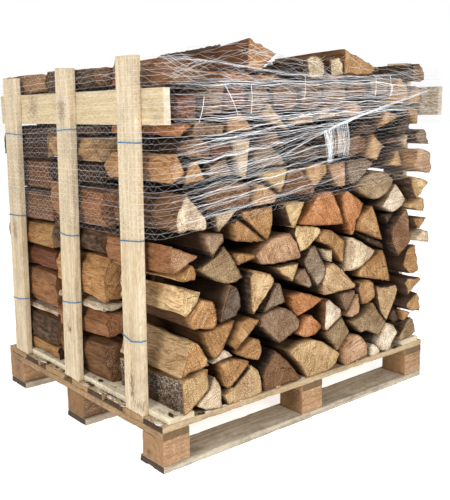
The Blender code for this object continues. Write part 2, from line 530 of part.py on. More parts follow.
def finished_outlines(logs):
    outlines = [tidy_outline(kept_between_sides(outline)) for outline, _ in logs]
    part_overlaps(outlines)
    narrowed = [inset(tidy_outline(outline), LOG_GAP) for outline in outlines]
    return [[rested(point, 2 * LOG_GAP) for point in outline] for outline in narrowed]


def rectangle(along, height):
    return [
        Vector((along[0], height[0])), Vector((along[1], height[0])),
        Vector((along[1], height[1])), Vector((along[0], height[1])),
    ]


def kept_clear():
    """The space of the rails, with the gap that touching pieces keep."""
    outer = POST_THICK + GAP
    zones = []
    bottom_rail = (DECK_TOP + 2 * GAP, BOTTOM_RAIL_TOP)
    for depth, height in ((BOTTOM_RAIL_WIDTH, bottom_rail), (TOP_RAIL_THICK, TOP_RAIL)):
        along = (outer, outer + depth + GAP)
        height = (height[0] - GAP, height[1] + GAP)
        zones.append(rectangle(along, height))
        zones.append(rectangle(mirrored(along), height))
    return zones


class Sheet:
    """The end face of a row as triangles: those of each log, and those of the gaps between them."""

    def __init__(self, outlines, clear_zones):
        points, shapes = [], []
        for outline in outlines + clear_zones:
            shapes.append(list(range(len(points), len(points) + len(outline))))
            points += outline
        result = delaunay_2d_cdt(points, [], shapes, 0, 1e-5, True)
        self.points, self.triangles = result[0], result[2]
        self.owners = [min(source) if source else None for source in result[5]]
        self.log_count = len(outlines)
        self.by_edge = defaultdict(list)
        for number, triangle in enumerate(self.triangles):
            for edge in zip(triangle, triangle[1:] + triangle[:1]):
                self.by_edge[frozenset(edge)].append(number)
        self.removed = {
            number for number, owner in enumerate(self.owners)
            if owner is not None and owner >= self.log_count
        }
        self.carve()
        self.mend_pinches()
        self.part_touching_logs()

    def is_gap(self, number):
        return self.owners[number] is None

    def carve(self):
        """Takes gaps away from the outside inwards, wherever their mouth is wide."""
        changed = True
        while changed:
            changed = False
            for edge, beside in self.by_edge.items():
                left = [number for number in beside if number not in self.removed]
                if len(left) != 1 or not self.is_gap(left[0]):
                    continue
                start, end = (self.points[index] for index in edge)
                if (end - start).length > OUTER_REACH:
                    self.removed.add(left[0])
                    changed = True

    def pinches(self):
        """Points where the kept triangles only meet at a corner."""
        ends = defaultdict(int)
        for edge, beside in self.by_edge.items():
            if sum(number not in self.removed for number in beside) == 1:
                for index in edge:
                    ends[index] += 1
        return {index for index, count in ends.items() if count > 2}

    def mend_pinches(self):
        for _ in range(12):
            found = self.pinches()
            if not found:
                return
            for number, triangle in enumerate(self.triangles):
                if self.is_gap(number) and found & set(triangle):
                    self.removed.discard(number)

    def part_touching_logs(self):
        """A triangle of a log that shares a corner with an earlier log is given to the gap."""
        holder = {}
        for number, triangle in enumerate(self.triangles):
            owner = self.owners[number]
            if owner is None or number in self.removed:
                continue
            for index in triangle:
                if holder.setdefault(index, owner) != owner:
                    self.owners[number] = None

    def kept(self):
        return [number for number in range(len(self.triangles)) if number not in self.removed]


def sheet_faces(shape, sheet, depth):
    """The sheet's kept triangles as faces at this depth, by triangle number."""
    corners = {}
    faces = {}
    for number in sheet.kept():
        for index in sheet.triangles[number]:
            if index not in corners:
                point = sheet.points[index]
                corners[index] = shape.verts.new(CORNER + Vector((point.x, depth, point.y)))
        faces[number] = shape.faces.new([corners[index] for index in sheet.triangles[number]])
    return faces


def pulled(shape, faces, shift):
    """Extrudes these faces along Y and gives back the new ones."""
    made = bmesh.ops.extrude_face_region(shape, geom=faces)["geom"]
    points = [item for item in made if isinstance(item, bmesh.types.BMVert)]
    bmesh.ops.translate(shape, verts=points, vec=Vector((0.0, shift, 0.0)))
    return [item for item in made if isinstance(item, bmesh.types.BMFace)]


def flat_end(shape, faces):
    """One flat face in place of a plain end's triangles, cut again without its inner points."""
    whole = bmesh.ops.dissolve_faces(shape, faces=faces)["region"]
    bmesh.ops.triangulate(shape, faces=whole, ngon_method="BEAUTY")


def build_row(name, logs, limits, facing, finish):
    """A row as one body: its gaps end GAP_DEPTH behind the log ends, and each log reaches its own end."""
    sheet = Sheet(finished_outlines(logs), kept_clear())
    start, end = limits if facing < 0 else limits[::-1]
    depth = start - facing * GAP_DEPTH
    shape = bmesh.new()
    faces = sheet_faces(shape, sheet, depth)
    flat_end(shape, pulled(shape, list(faces.values()), end - depth))
    for log, (_, proud) in enumerate(logs):
        ends = [face for number, face in faces.items() if sheet.owners[number] == log]
        if ends:
            pulled(shape, ends, facing * (GAP_DEPTH + proud))
            bmesh.ops.delete(shape, geom=ends, context="FACES")
    return mesh_object(name, shape, finish)


def build_plain_row(name, logs, limits, finish):
    """The middle row, whose ends are hidden, as one body with the outline of its logs."""
    sheet = Sheet(finished_outlines(logs), kept_clear())
    shape = bmesh.new()
    faces = sheet_faces(shape, sheet, limits[0])
    whole = bmesh.ops.dissolve_faces(shape, faces=list(faces.values()))["region"]
    pulled(shape, whole, limits[1] - limits[0])
    bmesh.ops.triangulate(shape, faces=shape.faces[:], ngon_method="BEAUTY")
    return mesh_object(name, shape, finish)


def build_loose_logs(finish):
    for number, (proud, points) in enumerate(LOOSE_LOGS, start=1):
        stands = proud_enough(points, proud * 0.001)
        outline = inset(tidy_outline(log_end(points, stands)), LOG_GAP)
        shape = bmesh.new()
        corners = [shape.verts.new(CORNER + Vector((point.x, -stands, point.y))) for point in outline]
        pulled(shape, [shape.faces.new(corners)], FRONT_ROW[1] - PROUD_SPREAD)
        mesh_object(f"loose_log_{number}", shape, finish)


def build_net(finish):
    """The net as one thin closed band, from its lower edge over the rail ends to its upper edge."""
    low = [Vector(point) * CM for point in NET_LOW]
    loops = [
        low,
        [Vector((point.x, point.y, NET_MIDDLE * CM)) for point in low],
        [Vector((x, y, NET_UNDER_RAIL)) * CM for x, y in NET_RAIL],
        [Vector((x, y, NET_OVER_RAIL)) * CM for x, y in NET_RAIL],
        [Vector((point.x, point.y, top * CM)) for point, top in zip(low, NET_TOPS)],
    ]
    shape = bmesh.new()
    rings = [[shape.verts.new(CORNER + point) for point in loop] for loop in loops]
    for lower, upper in zip(rings, rings[1:]):
        for index in range(len(lower)):
            after = (index + 1) % len(lower)
            shape.faces.new((lower[index], lower[after], upper[after], upper[index]))
    net = mesh_object("net_wrap", shape, finish)
    wall = net.modifiers.new("Net thickness", "SOLIDIFY")
    wall.thickness = NET_THICK
    wall.offset = 1.0


clear_scene()
parts = bpy.data.collections.new("Pallet of firewood")
bpy.context.scene.collection.children.link(parts)

pallet_wood = material("Pallet wood", (0.40, 0.25, 0.12), 0.75)
frame_wood = material("Frame wood", (0.75, 0.58, 0.33), 0.70)
split_wood = material("Split firewood", (0.53, 0.32, 0.15), 0.80)
blue_twine = material("Blue twine", (0.05, 0.20, 0.39), 0.60)
white_net = material("White net", (0.80, 0.82, 0.85), 0.50)

build_pallet(pallet_wood)
build_frame(frame_wood)
build_ties(blue_twine)
draw = Random(7)
front_logs = front_outlines(draw)
build_row("firewood_front_row", front_logs, FRONT_ROW, -1, split_wood)
middle_logs = other_row(front_logs, MIDDLE_SIDE, MIDDLE_TOP, draw)
build_plain_row("firewood_middle_row", middle_logs, MIDDLE_ROW, split_wood)
back_logs = other_row(front_logs, BACK_SIDE, BACK_TOP, draw)
build_row("firewood_back_row", back_logs, BACK_ROW, 1, split_wood)
build_loose_logs(split_wood)
build_net(white_net)
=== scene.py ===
"""Looks of a pallet of split firewood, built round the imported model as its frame.

Metres, +Z up, in the frame's own axes: X along the pallet's long side, the log ends facing -Y.
The sections follow the object as it is put together: pallet, posts and rails, the rows of logs, the
loose logs on top, chips, twine and the net, after the camera and the light.
"""

import math
from collections import namedtuple
from random import Random

import bmesh
import bpy
import numpy as np
from mathutils import Matrix, Vector, noise
from mathutils.bvhtree import BVHTree
from mathutils.geometry import delaunay_2d_cdt


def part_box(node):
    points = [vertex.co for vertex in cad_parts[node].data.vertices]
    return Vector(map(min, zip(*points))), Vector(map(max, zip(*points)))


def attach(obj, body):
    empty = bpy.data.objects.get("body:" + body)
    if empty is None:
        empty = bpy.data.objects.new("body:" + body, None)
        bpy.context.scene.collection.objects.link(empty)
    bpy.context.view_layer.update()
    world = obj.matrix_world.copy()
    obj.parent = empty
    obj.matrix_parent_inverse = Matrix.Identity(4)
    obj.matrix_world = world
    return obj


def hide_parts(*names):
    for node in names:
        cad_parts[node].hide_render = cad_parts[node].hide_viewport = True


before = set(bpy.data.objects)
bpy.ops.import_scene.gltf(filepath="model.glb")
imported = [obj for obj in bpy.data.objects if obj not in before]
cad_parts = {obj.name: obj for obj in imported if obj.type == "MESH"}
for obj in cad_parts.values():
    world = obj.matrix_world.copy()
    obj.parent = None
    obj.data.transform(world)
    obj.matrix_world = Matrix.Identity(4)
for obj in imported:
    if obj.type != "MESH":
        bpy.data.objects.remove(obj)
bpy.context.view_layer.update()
MM = 0.001
CM = 0.01

# Camera
# It stands where the photograph was taken from, as fitted to the pallet's corners, posts and rails.
EYE = Vector((-1.7293, -2.1199, 1.0238))
HEADING, DROP, ROLL = 0.67177, 0.18577, 0.02123
ahead = Vector((math.sin(HEADING), math.cos(HEADING), 0)) * math.cos(DROP) - Vector((0, 0, math.sin(DROP)))
across = Vector((math.cos(HEADING), -math.sin(HEADING), 0))
downwards = ahead.cross(across)
image_right = across * math.cos(ROLL) + downwards * math.sin(ROLL)
image_down = downwards * math.cos(ROLL) - across * math.sin(ROLL)
camera = bpy.data.objects.new("camera", bpy.data.cameras.new("camera"))
bpy.context.scene.collection.objects.link(camera)
camera.matrix_world = Matrix((image_right, -image_down, -ahead)).transposed().to_4x4()
camera.matrix_world.translation = EYE
camera.data.sensor_fit = "HORIZONTAL"
camera.data.sensor_width = 36.0
camera.data.lens = 60.07
camera.data.shift_x = 0.0486
camera.data.shift_y = -0.0060
bpy.context.scene.camera = camera


# Floor and light
# A plain pale floor, a white surround and two large soft lamps, high in front and on the left.
def from_hex(code):
    """An sRGB hex colour as linear values."""
    parts = [int(code[place:place + 2], 16) / 255 for place in (1, 3, 5)]
    return [part / 12.92 if part <= 0.04045 else ((part + 0.055) / 1.055) ** 2.4 for part in parts]


def paint(code):
    """The same with an alpha of 1, as a colour socket takes it."""
    return (*from_hex(code), 1)


def new_material(name):
    made = bpy.data.materials.new(name)
    made.use_nodes = True
    return made, made.node_tree


def join(tree, node, links):
    """Sets a node's inputs, each by its name or its number: a socket to join or a value to set."""
    for name, value in links.items():
        key = int(name[1:]) if name[0] == "i" and name[1:].isdigit() else name.replace("_", " ")
        if isinstance(value, bpy.types.NodeSocket):
            tree.links.new(value, node.inputs[key])
        else:
            node.inputs[key].default_value = value
    return node


def put(tree, kind, settings=None, **links):
    """Adds a node. Settings are its properties, links its inputs."""
    made = tree.nodes.new(kind)
    for name, value in (settings or {}).items():
        setattr(made, name, value)
    return join(tree, made, links)


def shade(made, **links):
    """Sets the inputs of a material's shader."""
    join(made.node_tree, made.node_tree.nodes["Principled BSDF"], links)
    return made


bpy.ops.mesh.primitive_plane_add(size=60, location=(0, 0, -0.0005))
floor = bpy.context.object
floor.name = "floor"
floor_paper, _ = new_material("matt white paper")
shade(floor_paper, Base_Color=paint("#F7F7F6"), Roughness=0.9, Emission_Color=paint("#FFFFFF"),
      Emission_Strength=0.7)
floor.data.materials.append(floor_paper)

SURROUND_LIGHT = 0.45
world = bpy.data.worlds.new("white surround")
world.use_nodes = True
seen_directly = put(world.node_tree, "ShaderNodeLightPath").outputs["Is Camera Ray"]
strength = put(world.node_tree, "ShaderNodeMapRange", Value=seen_directly, To_Min=SURROUND_LIGHT, To_Max=1.0)
surround = world.node_tree.nodes["Background"]
join(world.node_tree, surround, {"Color": (1, 1, 1, 1), "Strength": strength.outputs[0]})
bpy.context.scene.world = world
bpy.context.scene.view_settings.view_transform = "Standard"

LAMPS = (  # name, place, size in metres, watts
    ("front lamp", (-0.6, -4.2, 2.6), 1.6, 110),
    ("left lamp", (-4.0, -1.5, 2.2), 1.6, 95),
)
for name, place, size, watts in LAMPS:
    lamp = bpy.data.lights.new(name, "AREA")
    lamp.size = size
    lamp.energy = watts
    holder = bpy.data.objects.new(name, lamp)
    bpy.context.scene.collection.objects.link(holder)
    holder.location = place
    holder.rotation_euler = (Vector((0, 0, 0.6)) - Vector(place)).to_track_quat("-Z", "Y").to_euler()


# Pallet
# Rough sawn softwood, nailed: three bottom boards, nine blocks, three stringers and eight deck boards.
# Boards are weathered grey-brown, the blocks still warm brown, the edges worn and chipped.
def select_only(obj):
    bpy.ops.object.select_all(action="DESELECT")
    obj.select_set(True)
    bpy.context.view_layer.objects.active = obj


def apply_modifier(obj, name, kind, **settings):
    made = obj.modifiers.new(name, kind)
    for key, value in settings.items():
        setattr(made, key, value)
    select_only(obj)
    bpy.ops.object.modifier_apply(modifier=name)


def cut_along(obj, axis, spacing):
    """Cuts every edge that runs along this axis into lengths of about the spacing."""
    mesh = obj.data
    unit = Vector([float(axis == other) for other in range(3)])
    bpy.ops.object.mode_set(mode="OBJECT")
    longest = 0.0
    for edge in mesh.edges:
        run = mesh.vertices[edge.vertices[1]].co - mesh.vertices[edge.vertices[0]].co
        edge.select = abs(run.dot(unit)) > 0.9 * run.length
        if edge.select:
            longest = max(longest, run.length)
    for part in (*mesh.vertices, *mesh.polygons):
        part.select = False
    cuts = round(longest / spacing) - 1
    bpy.ops.object.mode_set(mode="EDIT")
    bpy.ops.mesh.select_mode(type="EDGE")
    if cuts > 0:
        bpy.ops.mesh.subdivide(number_cuts=cuts)


# How far from an edge the wood is chipped, and how rough its faces are
CHIP_REACH = 7 * MM
SAWN = 0.6 * MM
PLANED = 0.5 * MM
rough_cloud = bpy.data.textures.new("rough sawn", "CLOUDS")
rough_cloud.noise_scale = 12 * MM
rough_cloud.noise_depth = 3


def chipped(obj, low, high, depth, seed):
    """Presses the mesh in along worn edges and corners, where the wood has broken away."""
    for vertex in obj.data.vertices:
        place = vertex.co
        margins = [min(place[axis] - low[axis], high[axis] - place[axis]) for axis in range(3)]
        near_edge = max(0.0, 1 - sorted(margins)[1] / CHIP_REACH)
        if near_edge == 0.0:
            continue
        worn = noise.noise(place * 22 + Vector((seed, 0, 0))) + 0.5 * noise.noise(place * 70)
        bite = max(0.0, worn - 0.12) * near_edge * depth
        for axis, margin in enumerate(margins):
            if margin < CHIP_REACH:
                inwards = 1 if place[axis] - low[axis] < high[axis] - place[axis] else -1
                vertex.co[axis] += inwards * bite


def timber(name, finish, depth, roughness=SAWN):
    """A board, block or post worked up from the frame's own solid: cut fine, eased, rough and chipped."""
    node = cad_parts[name]
    piece = bpy.data.objects.new(name + "_wood", node.data.copy())
    bpy.context.scene.collection.objects.link(piece)
    select_only(piece)
    bpy.ops.object.mode_set(mode="EDIT")
    bpy.ops.mesh.select_all(action="SELECT")
    bpy.ops.mesh.remove_doubles(threshold=0.01 * MM)
    bpy.ops.mesh.dissolve_limited(angle_limit=math.radians(1))
    low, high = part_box(name)
    size = high - low
    for axis in range(3):
        cut_along(piece, axis, 10 * MM if size[axis] == max(size) else 6 * MM)
    bpy.ops.object.mode_set(mode="OBJECT")
    chipped(piece, low, high, depth, sum(map(ord, name)) % 97)
    apply_modifier(piece, "eased edges", "BEVEL", width=1.2 * MM, segments=2, limit_method="ANGLE",
                   angle_limit=math.radians(60))
    apply_modifier(piece, "rough sawn", "DISPLACE", texture=rough_cloud, strength=roughness,
                   mid_level=1.0)
    select_only(piece)
    bpy.ops.object.shade_smooth_by_angle(angle=math.radians(40))
    piece.data.materials.clear()
    piece.data.materials.append(finish)
    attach(piece, "root")
    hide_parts(name)


def between(tree, value, low, high, to_low=0.0, to_high=1.0):
    """A share that goes from one end to the other as the value goes from low to high."""
    return put(tree, "ShaderNodeMapRange", Value=value, From_Min=low, From_Max=high, To_Min=to_low,
               To_Max=to_high).outputs[0]


def mixed_colour(tree, share, first, second, blend="MIX"):
    return put(tree, "ShaderNodeMix", {"data_type": "RGBA", "blend_type": blend}, i0=share, i6=first,
               i7=second).outputs[2]


def multiplied(tree, colour, *factors):
    """The colour with its red, green and blue multiplied by these."""
    return mixed_colour(tree, 1.0, colour, (*factors, 1), "MULTIPLY")


def layered(tree, colour, *layers):
    """The colour under tints, each laid on as its value goes from low to high, up to its own share."""
    for tint, value, low, high, most in layers:
        colour = mixed_colour(tree, between(tree, value, low, high, 0.0, most), colour, tint)
    return colour


def worked_out(tree, operation, *values):
    return put(tree, "ShaderNodeMath", {"operation": operation},
               **{f"i{place}": value for place, value in enumerate(values)}).outputs[0]


def scaled(tree, place, scale):
    """Places drawn out along the axes where the scale is small, and squeezed where it is large."""
    return put(tree, "ShaderNodeMapping", Vector=place, Scale=scale).outputs[0]


def noise_at(tree, place, scale, detail=2.0, roughness=0.5, **more):
    """Noise at these places. With W given, each value of W has its own."""
    settings = {"noise_dimensions": "4D"} if "W" in more else {}
    return put(tree, "ShaderNodeTexNoise", settings, Vector=place, Scale=scale, Detail=detail,
               Roughness=roughness, **more).outputs[0]


def bump(tree, relief, strength, depth):
    return put(tree, "ShaderNodeBump", Height=relief, Strength=strength, Distance=depth).outputs[0]


def sawn_timber(name, light, dark, grain, stains_and_shade=(), grime=0.3, knots=0.5, end="#8A6A48", speckle=0.25):
    """Sawn softwood whose grain runs along axis 0, 1 or 2: early and late wood bands about 5 mm wide,
    fibres, saw marks across the grain, knots, speckles and grime. Spots: place, size, strength; most are
    stains, and some are painted shade. The ends of the grain have their own colour."""
    made, tree = new_material(name)
    object_places = put(tree, "ShaderNodeTexCoord")
    place = object_places.outputs["Object"]

    def drawn(along, aside=1.0):
        """Places scaled along the grain and across it."""
        return scaled(tree, place, [along if axis == grain else aside for axis in range(3)])

    bands = noise_at(tree, drawn(0.045), 95.0, Distortion=0.6)
    fibres = noise_at(tree, drawn(0.045), 420.0, 3.0)
    saw = noise_at(tree, drawn(1.0, 0.25), 240.0)
    soil = noise_at(tree, place, 11.0, 6.0, 0.65)
    grit = noise_at(tree, drawn(0.3), 210.0, 3.0, 0.7)
    knot = put(tree, "ShaderNodeTexVoronoi", Vector=drawn(2.2, 9.0), Scale=1.0).outputs["Distance"]
    fibre_share = worked_out(tree, "MULTIPLY", between(tree, fibres, 0.3, 0.7), 0.45)
    light_share = worked_out(tree, "MULTIPLY_ADD", between(tree, bands, 0.38, 0.62), 0.55, fibre_share)
    facing = put(tree, "ShaderNodeSeparateXYZ", Vector=object_places.outputs["Normal"]).outputs[grain]
    cross_cut = worked_out(tree, "ABSOLUTE", facing)
    end_grain = mixed_colour(tree, saw, paint(end), (0.45, 0.38, 0.32, 1), "MULTIPLY")
    colour = layered(
        tree, mixed_colour(tree, light_share, paint(dark), paint(light)),
        (paint("#6B4526"), knot, 0.10, 0.04, knots), (paint("#5E4630"), grit, 0.48, 0.34, speckle),
        (paint("#EEDFC4"), grit, 0.53, 0.68, speckle), (end_grain, cross_cut, 0.75, 0.9, 1.0),
        (paint("#5A4A3C"), soil, 0.48, 0.72, grime))
    # Each spot darkens the wood: most are stains, and the spots on the centre front block and the right top
    # rail are painted shade.
    for spot, size, strength in stains_and_shade:
        aside = put(tree, "ShaderNodeVectorMath", {"operation": "SUBTRACT"}, i0=place, i1=spot).outputs[0]
        shape = scaled(tree, aside, [1 / extent for extent in size])
        distance = put(tree, "ShaderNodeVectorMath", {"operation": "LENGTH"}, i0=shape).outputs["Value"]
        torn = worked_out(tree, "ADD", distance, worked_out(tree, "MULTIPLY_ADD", grit, 3.4, -1.7))
        colour = layered(tree, colour, (paint("#5B3E26"), torn, 1.0, 0.35, strength))
    relief = worked_out(tree, "ADD", fibres, saw)
    return shade(made, Base_Color=colour, Normal=bump(tree, relief, 0.5, 0.8 * MM), Roughness=0.82,
                 Specular_IOR_Level=0.25)


BLOCK_STAINS_AND_SHADE = (  # place, size of the spot, strength
    ((-0.606, -0.425, 0.045), (0.02, 0.014, 0.012), 0.8),
    ((-0.606, -0.455, 0.105), (0.02, 0.030, 0.010), 0.35),
    ((-0.606, 0.440, 0.070), (0.02, 0.012, 0.014), 0.6),
    # This spot is painted shade on the left face of the centre front block; the others are stains.
    ((-0.045, -0.455, 0.07), (0.02, 0.05, 0.05), 0.8),
)
# Weathered softwood, greyer where rain and wheels reach it
bottom_wood = sawn_timber("weathered pine, bottom boards", "#C6BAA6", "#8F8370", 0, grime=0.6, end="#4E4033")
block_wood = sawn_timber("sawn pine blocks", "#B48F6B", "#8C6848", 0, BLOCK_STAINS_AND_SHADE, grime=0.45, knots=0.8,
                         end="#AC8862", speckle=0.32)
# A darker copy of the block wood for the left middle block: painted shade, for the shadow on its faces.
shaded_block_wood = sawn_timber("sawn pine block, painted shade", "#8F6E52", "#6A4C35", 0, grime=0.6, knots=0.8,
                              end="#94714F", speckle=0.32)
stringer_wood = sawn_timber("sawn pine stringers", "#A88862", "#7E6244", 1, grime=0.6, end="#7E674A")
deck_wood = sawn_timber("weathered pine, deck boards", "#BFA987", "#957C5B", 0, grime=0.5, end="#4A3324")
later_deck_wood = sawn_timber("pine deck boards, cut later", "#BFA987", "#957C5B", 0, grime=0.4,
                              end="#B09068")
DARK_ENDED = ("deck_board_1", "deck_board_3", "deck_board_4", "deck_board_7")
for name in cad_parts:
    if name.startswith("bottom_board"):
        timber(name, bottom_wood, 3 * MM)
    elif name.startswith("block_"):
        timber(name, shaded_block_wood if name == "block_left_middle" else block_wood, 3 * MM)
    elif name.startswith("stringer"):
        timber(name, stringer_wood, 3 * MM)
    elif name.startswith("deck_board"):
        timber(name, deck_wood if name in DARK_ENDED else later_deck_wood, 4 * MM)


# Posts and rails
# Fresh planed pine battens: six leaning posts nailed outside, a rail flat on the deck and one on edge
# near the top of each short side. Pale cream, with a knot, damp stains and a dirty foot on the left.
POST_STAINS = (  # place, size of the spot, strength
    ((-0.601, 0.012, 0.315), (0.02, 0.011, 0.016), 0.85),
    ((-0.601, -0.012, 1.020), (0.02, 0.030, 0.050), 0.55),
    ((-0.601, 0.382, 0.600), (0.02, 0.022, 0.045), 0.5),
    ((-0.601, -0.352, 0.225), (0.02, 0.012, 0.070), 0.75),
    ((-0.601, -0.390, 0.175), (0.02, 0.030, 0.020), 0.45),
    ((-0.601, 0.020, 0.330), (0.02, 0.018, 0.030), 0.25),
)
RAIL_STAINS_AND_SHADE = (
    # This spot is painted shade on the front of the right top rail; the other two are stains.
    ((0.580, -0.480, 1.030), (0.04, 0.120, 0.08), 0.45),
    ((-0.578, 0.225, 1.030), (0.02, 0.050, 0.035), 0.4),
    ((-0.500, -0.190, 0.161), (0.06, 0.020, 0.02), 0.6),
)
post_wood = sawn_timber("planed pine posts", "#D3C5AA", "#B49C78", 2, POST_STAINS, knots=0.3, end="#C0A67E")
rail_wood = sawn_timber("planed pine rails", "#CFBE9B", "#B79F77", 1, RAIL_STAINS_AND_SHADE, knots=0.3, end="#EAE0CA")
# A greyer, darker copy of the rail wood for the right top rail: painted shade, for the shade that rail lies
# in.
shaded_rail_wood = sawn_timber("planed pine rail, painted shade", "#B9AD98", "#9C907B", 1, RAIL_STAINS_AND_SHADE, grime=0.4,
                             knots=0.3, end="#DCD2BF", speckle=0.35)
# A paler copy of the rail wood for the bottom rails: painted light, brightening them where the posts and logs
# shade them.
lit_bottom_rail_wood = sawn_timber("planed pine, bottom rails", "#F0E6D0", "#D8C8A6", 1, RAIL_STAINS_AND_SHADE, grime=0.35,
                         knots=0.3, end="#E6D8BA", speckle=0.4)
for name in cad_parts:
    if name.startswith("post_"):
        timber(name, post_wood, 4 * MM, PLANED)
    elif name.startswith("bottom_rail"):
        timber(name, lit_bottom_rail_wood, 3 * MM, PLANED)
    elif name.startswith("top_rail"):
        timber(name, shaded_rail_wood if "right" in name else rail_wood, 3 * MM, PLANED)


# Split firewood
# Hardwood logs about 33 cm long, sawn across and split by machine: fuzzy sawn ends with growth rings and
# drying cracks, fibrous split faces and furrowed bark. They lie front to back in three rows.
TONES = {name: from_hex(code) for name, code in {
    "cream": "#DCC9A8", "pale": "#E4D5BC", "light tan": "#CFB084", "light yellow": "#D2B583",
    "tan": "#BE9868", "yellow tan": "#C8A878", "ochre": "#B48A58", "orange": "#BE8250",
    "orange tan": "#C39663", "pinkish": "#C09A76", "olive": "#A08763", "grey brown": "#957A5E",
    "grey": "#96836C", "brown": "#83603F", "dark": "#5C4736", "red brown": "#7A4A30",
    "warm brown": "#A0714B", "deep brown": "#7C5638", "warm cream": "#EFCF9C", "weathered tan": "#AA8460",
    "umber": "#432C1F",
}.items()}
# The front row's logs: tones of the end and of the left side, by where the ends appear, X and height in cm.
# A side that is the same has the end's tone.
FRONT_LOOKS = {
    ("yellow tan", "weathered bark"): ((11.5, 21.5),),
    ("yellow tan", "bark"): ((38, 48.5),),
    ("cream", "same"): ((18.5, 19.5), (24.8, 70), (68.3, 53.5), (84, 52.5), (119.5, 54), (108, 89),
        (31.5, 88.5)),
    ("tan", "same"): ((40.5, 76), (62.5, 81), (98, 95.5), (57, 98), (67.5, 98.5), (91, 87.5), (111.5, 97.5),
        (104, 83.5), (103, 106), (111.7, 105), (42.5, 110.3)),
    ("light tan", "bark"): ((31.5, 19.5),),
    ("ochre", "brown"): ((32, 58),),
    ("orange tan", "light tan"): ((12.5, 31.5),),
    ("orange tan", "orange tan"): ((16.5, 43.3), (7.5, 86), (110.5, 25.5)),
    ("ochre", "same"): ((27, 24.5), (21.5, 35), (32, 36), (32.5, 65.5), (71, 57), (93, 45.5), (39, 68.5),
        (89, 62)),
    ("pale", "same"): ((23, 29.6), (99.5, 19.5), (93.5, 16.5)),
    ("ochre", "bark"): ((34.5, 29), (88, 38.5)),
    ("light yellow", "warm cream"): ((10.8, 48.5),),
    ("grey brown", "grey brown"): ((57, 48), (46.5, 35), (70.6, 105.3)),
    ("dark", "grey brown"): ((26.3, 45.5),),
    ("brown", "bark"): ((46, 20), (107, 56), (60, 105), (48.5, 106)),
    ("yellow tan", "same"): ((63.5, 21.5), (115, 66.3), (45, 98.5)),
    ("orange", "same"): ((57, 40), (60, 31), (66, 69.5), (31, 110.5), (10.5, 97)),
    ("cream", "brown"): ((12, 73),),
    ("pale", "brown"): ((70.5, 34),),
    ("olive", "same"): ((73.5, 25.5), (90, 27.5), (23, 57), (111.5, 20), (92, 74.5)),
    ("light tan", "same"): ((73, 45), (69, 97)),
    ("grey", "bark"): ((44, 44), (62.5, 51), (116, 91), (92.5, 107.5)),
    ("grey brown", "same"): ((79, 37), (20.5, 64), (67.5, 88.5), (73, 89.5)),
    ("pinkish", "same"): ((81, 33.5), (46, 58.5), (82, 19), (73, 80), (79, 100.3)),
    ("ochre", "dark"): ((112, 46), (117, 59.5), (114.5, 30)),
    ("light tan", "dark"): ((99, 33),),
    ("tan", "dark"): ((113.5, 36.5),),
    ("weathered tan", "warm brown"): ((8.5, 61.5),),
    ("dark", "deep brown"): ((68, 78),),
    ("brown", "warm brown"): ((5, 78), (12.5, 112)),
    ("dark", "bark"): ((103.3, 26.5), (91, 55.5), (100.5, 61.5), (57, 87.5), (58.5, 93), (89.5, 100.8),
        (84.5, 94.5), (106, 93.5)),
    ("ochre", "orange tan"): ((10.5, 56.5),),
    ("orange", "orange"): ((80.5, 67.5),),
    ("brown", "same"): ((26.5, 76.8), (81.5, 88.5), (100.3, 89.2), (54, 79), (14.5, 91.5), (20.5, 104),
        (81.5, 107.5)),
    ("grey brown", "brown"): ((23, 85), (19, 97), (43, 92), (37.5, 104)),
    ("orange tan", "brown"): ((14.8, 84.5), (30, 97)),
    ("light yellow", "same"): ((45, 80.5),),
    ("light yellow", "bark"): ((52, 69.2), (58, 61), (116, 74)),
    ("grey", "same"): ((82.5, 80), (42, 87.5)),
    ("light yellow", "brown"): ((49.8, 51.5),),
    ("pale", "grey"): ((102, 69),),
    ("pinkish", "orange tan"): ((117, 81.5),),
    ("red brown", "same"): ((24, 91), (12, 103), (29, 104)),
}
SAWN_END, SPLIT_FACE, BARK = range(3)


def smooth_corner(before, corner, after):
    """A corner of a split log, just blunted, or a wide curve where it lies on the round of the trunk."""
    incoming, outgoing = corner - before, after - corner
    if incoming.angle(outgoing) > math.radians(38):
        blunt = min(1.5 * MM, 0.2 * incoming.length, 0.2 * outgoing.length)
        return [corner - incoming.normalized() * blunt, corner + outgoing.normalized() * blunt]
    start = corner - incoming * 0.3
    end = corner + outgoing * 0.3
    return [start.lerp(corner, share).lerp(corner.lerp(end, share), share) for share in (0, 0.5, 1)]


def even_outline(outline, step):
    """The outline with its corners kept and each run between them cut into about even steps."""
    rounded = []
    for before, corner, after in zip(outline[-1:] + outline[:-1], outline, outline[1:] + outline[:1]):
        rounded += smooth_corner(before, corner, after)
    loop = []
    for here, there in zip(rounded, rounded[1:] + rounded[:1]):
        cuts = max(1, round((there - here).length / step))
        loop += [tuple(here.lerp(there, cut / cuts)) for cut in range(cuts)]
    return np.array(loop)


def lie_inside(spots, loop):
    """Which of these spots lie inside the loop, by counting the sides to their right."""
    x, z = spots[:, :1], spots[:, 1:]
    after = np.roll(loop, -1, axis=0)
    spans = (loop[:, 1] > z) != (after[:, 1] > z)
    rise = np.where(after[:, 1] == loop[:, 1], 1e-9, after[:, 1] - loop[:, 1])
    crossing = loop[:, 0] + (after[:, 0] - loop[:, 0]) * (z - loop[:, 1]) / rise
    return np.sum(spans & (x < crossing), axis=1) % 2 == 1


def outwards_of(loop):
    """The direction square to a loop at each of its points, away from its inside."""
    tangent = np.roll(loop, -1, axis=0) - np.roll(loop, 1, axis=0)
    outwards = np.stack([tangent[:, 1], -tangent[:, 0]], axis=1)
    outwards /= np.linalg.norm(outwards, axis=1)[:, None] + 1e-9
    if np.sum(loop[:, 0] * np.roll(loop[:, 1], -1) - np.roll(loop[:, 0], -1) * loop[:, 1]) < 0:
        outwards = -outwards
    return outwards


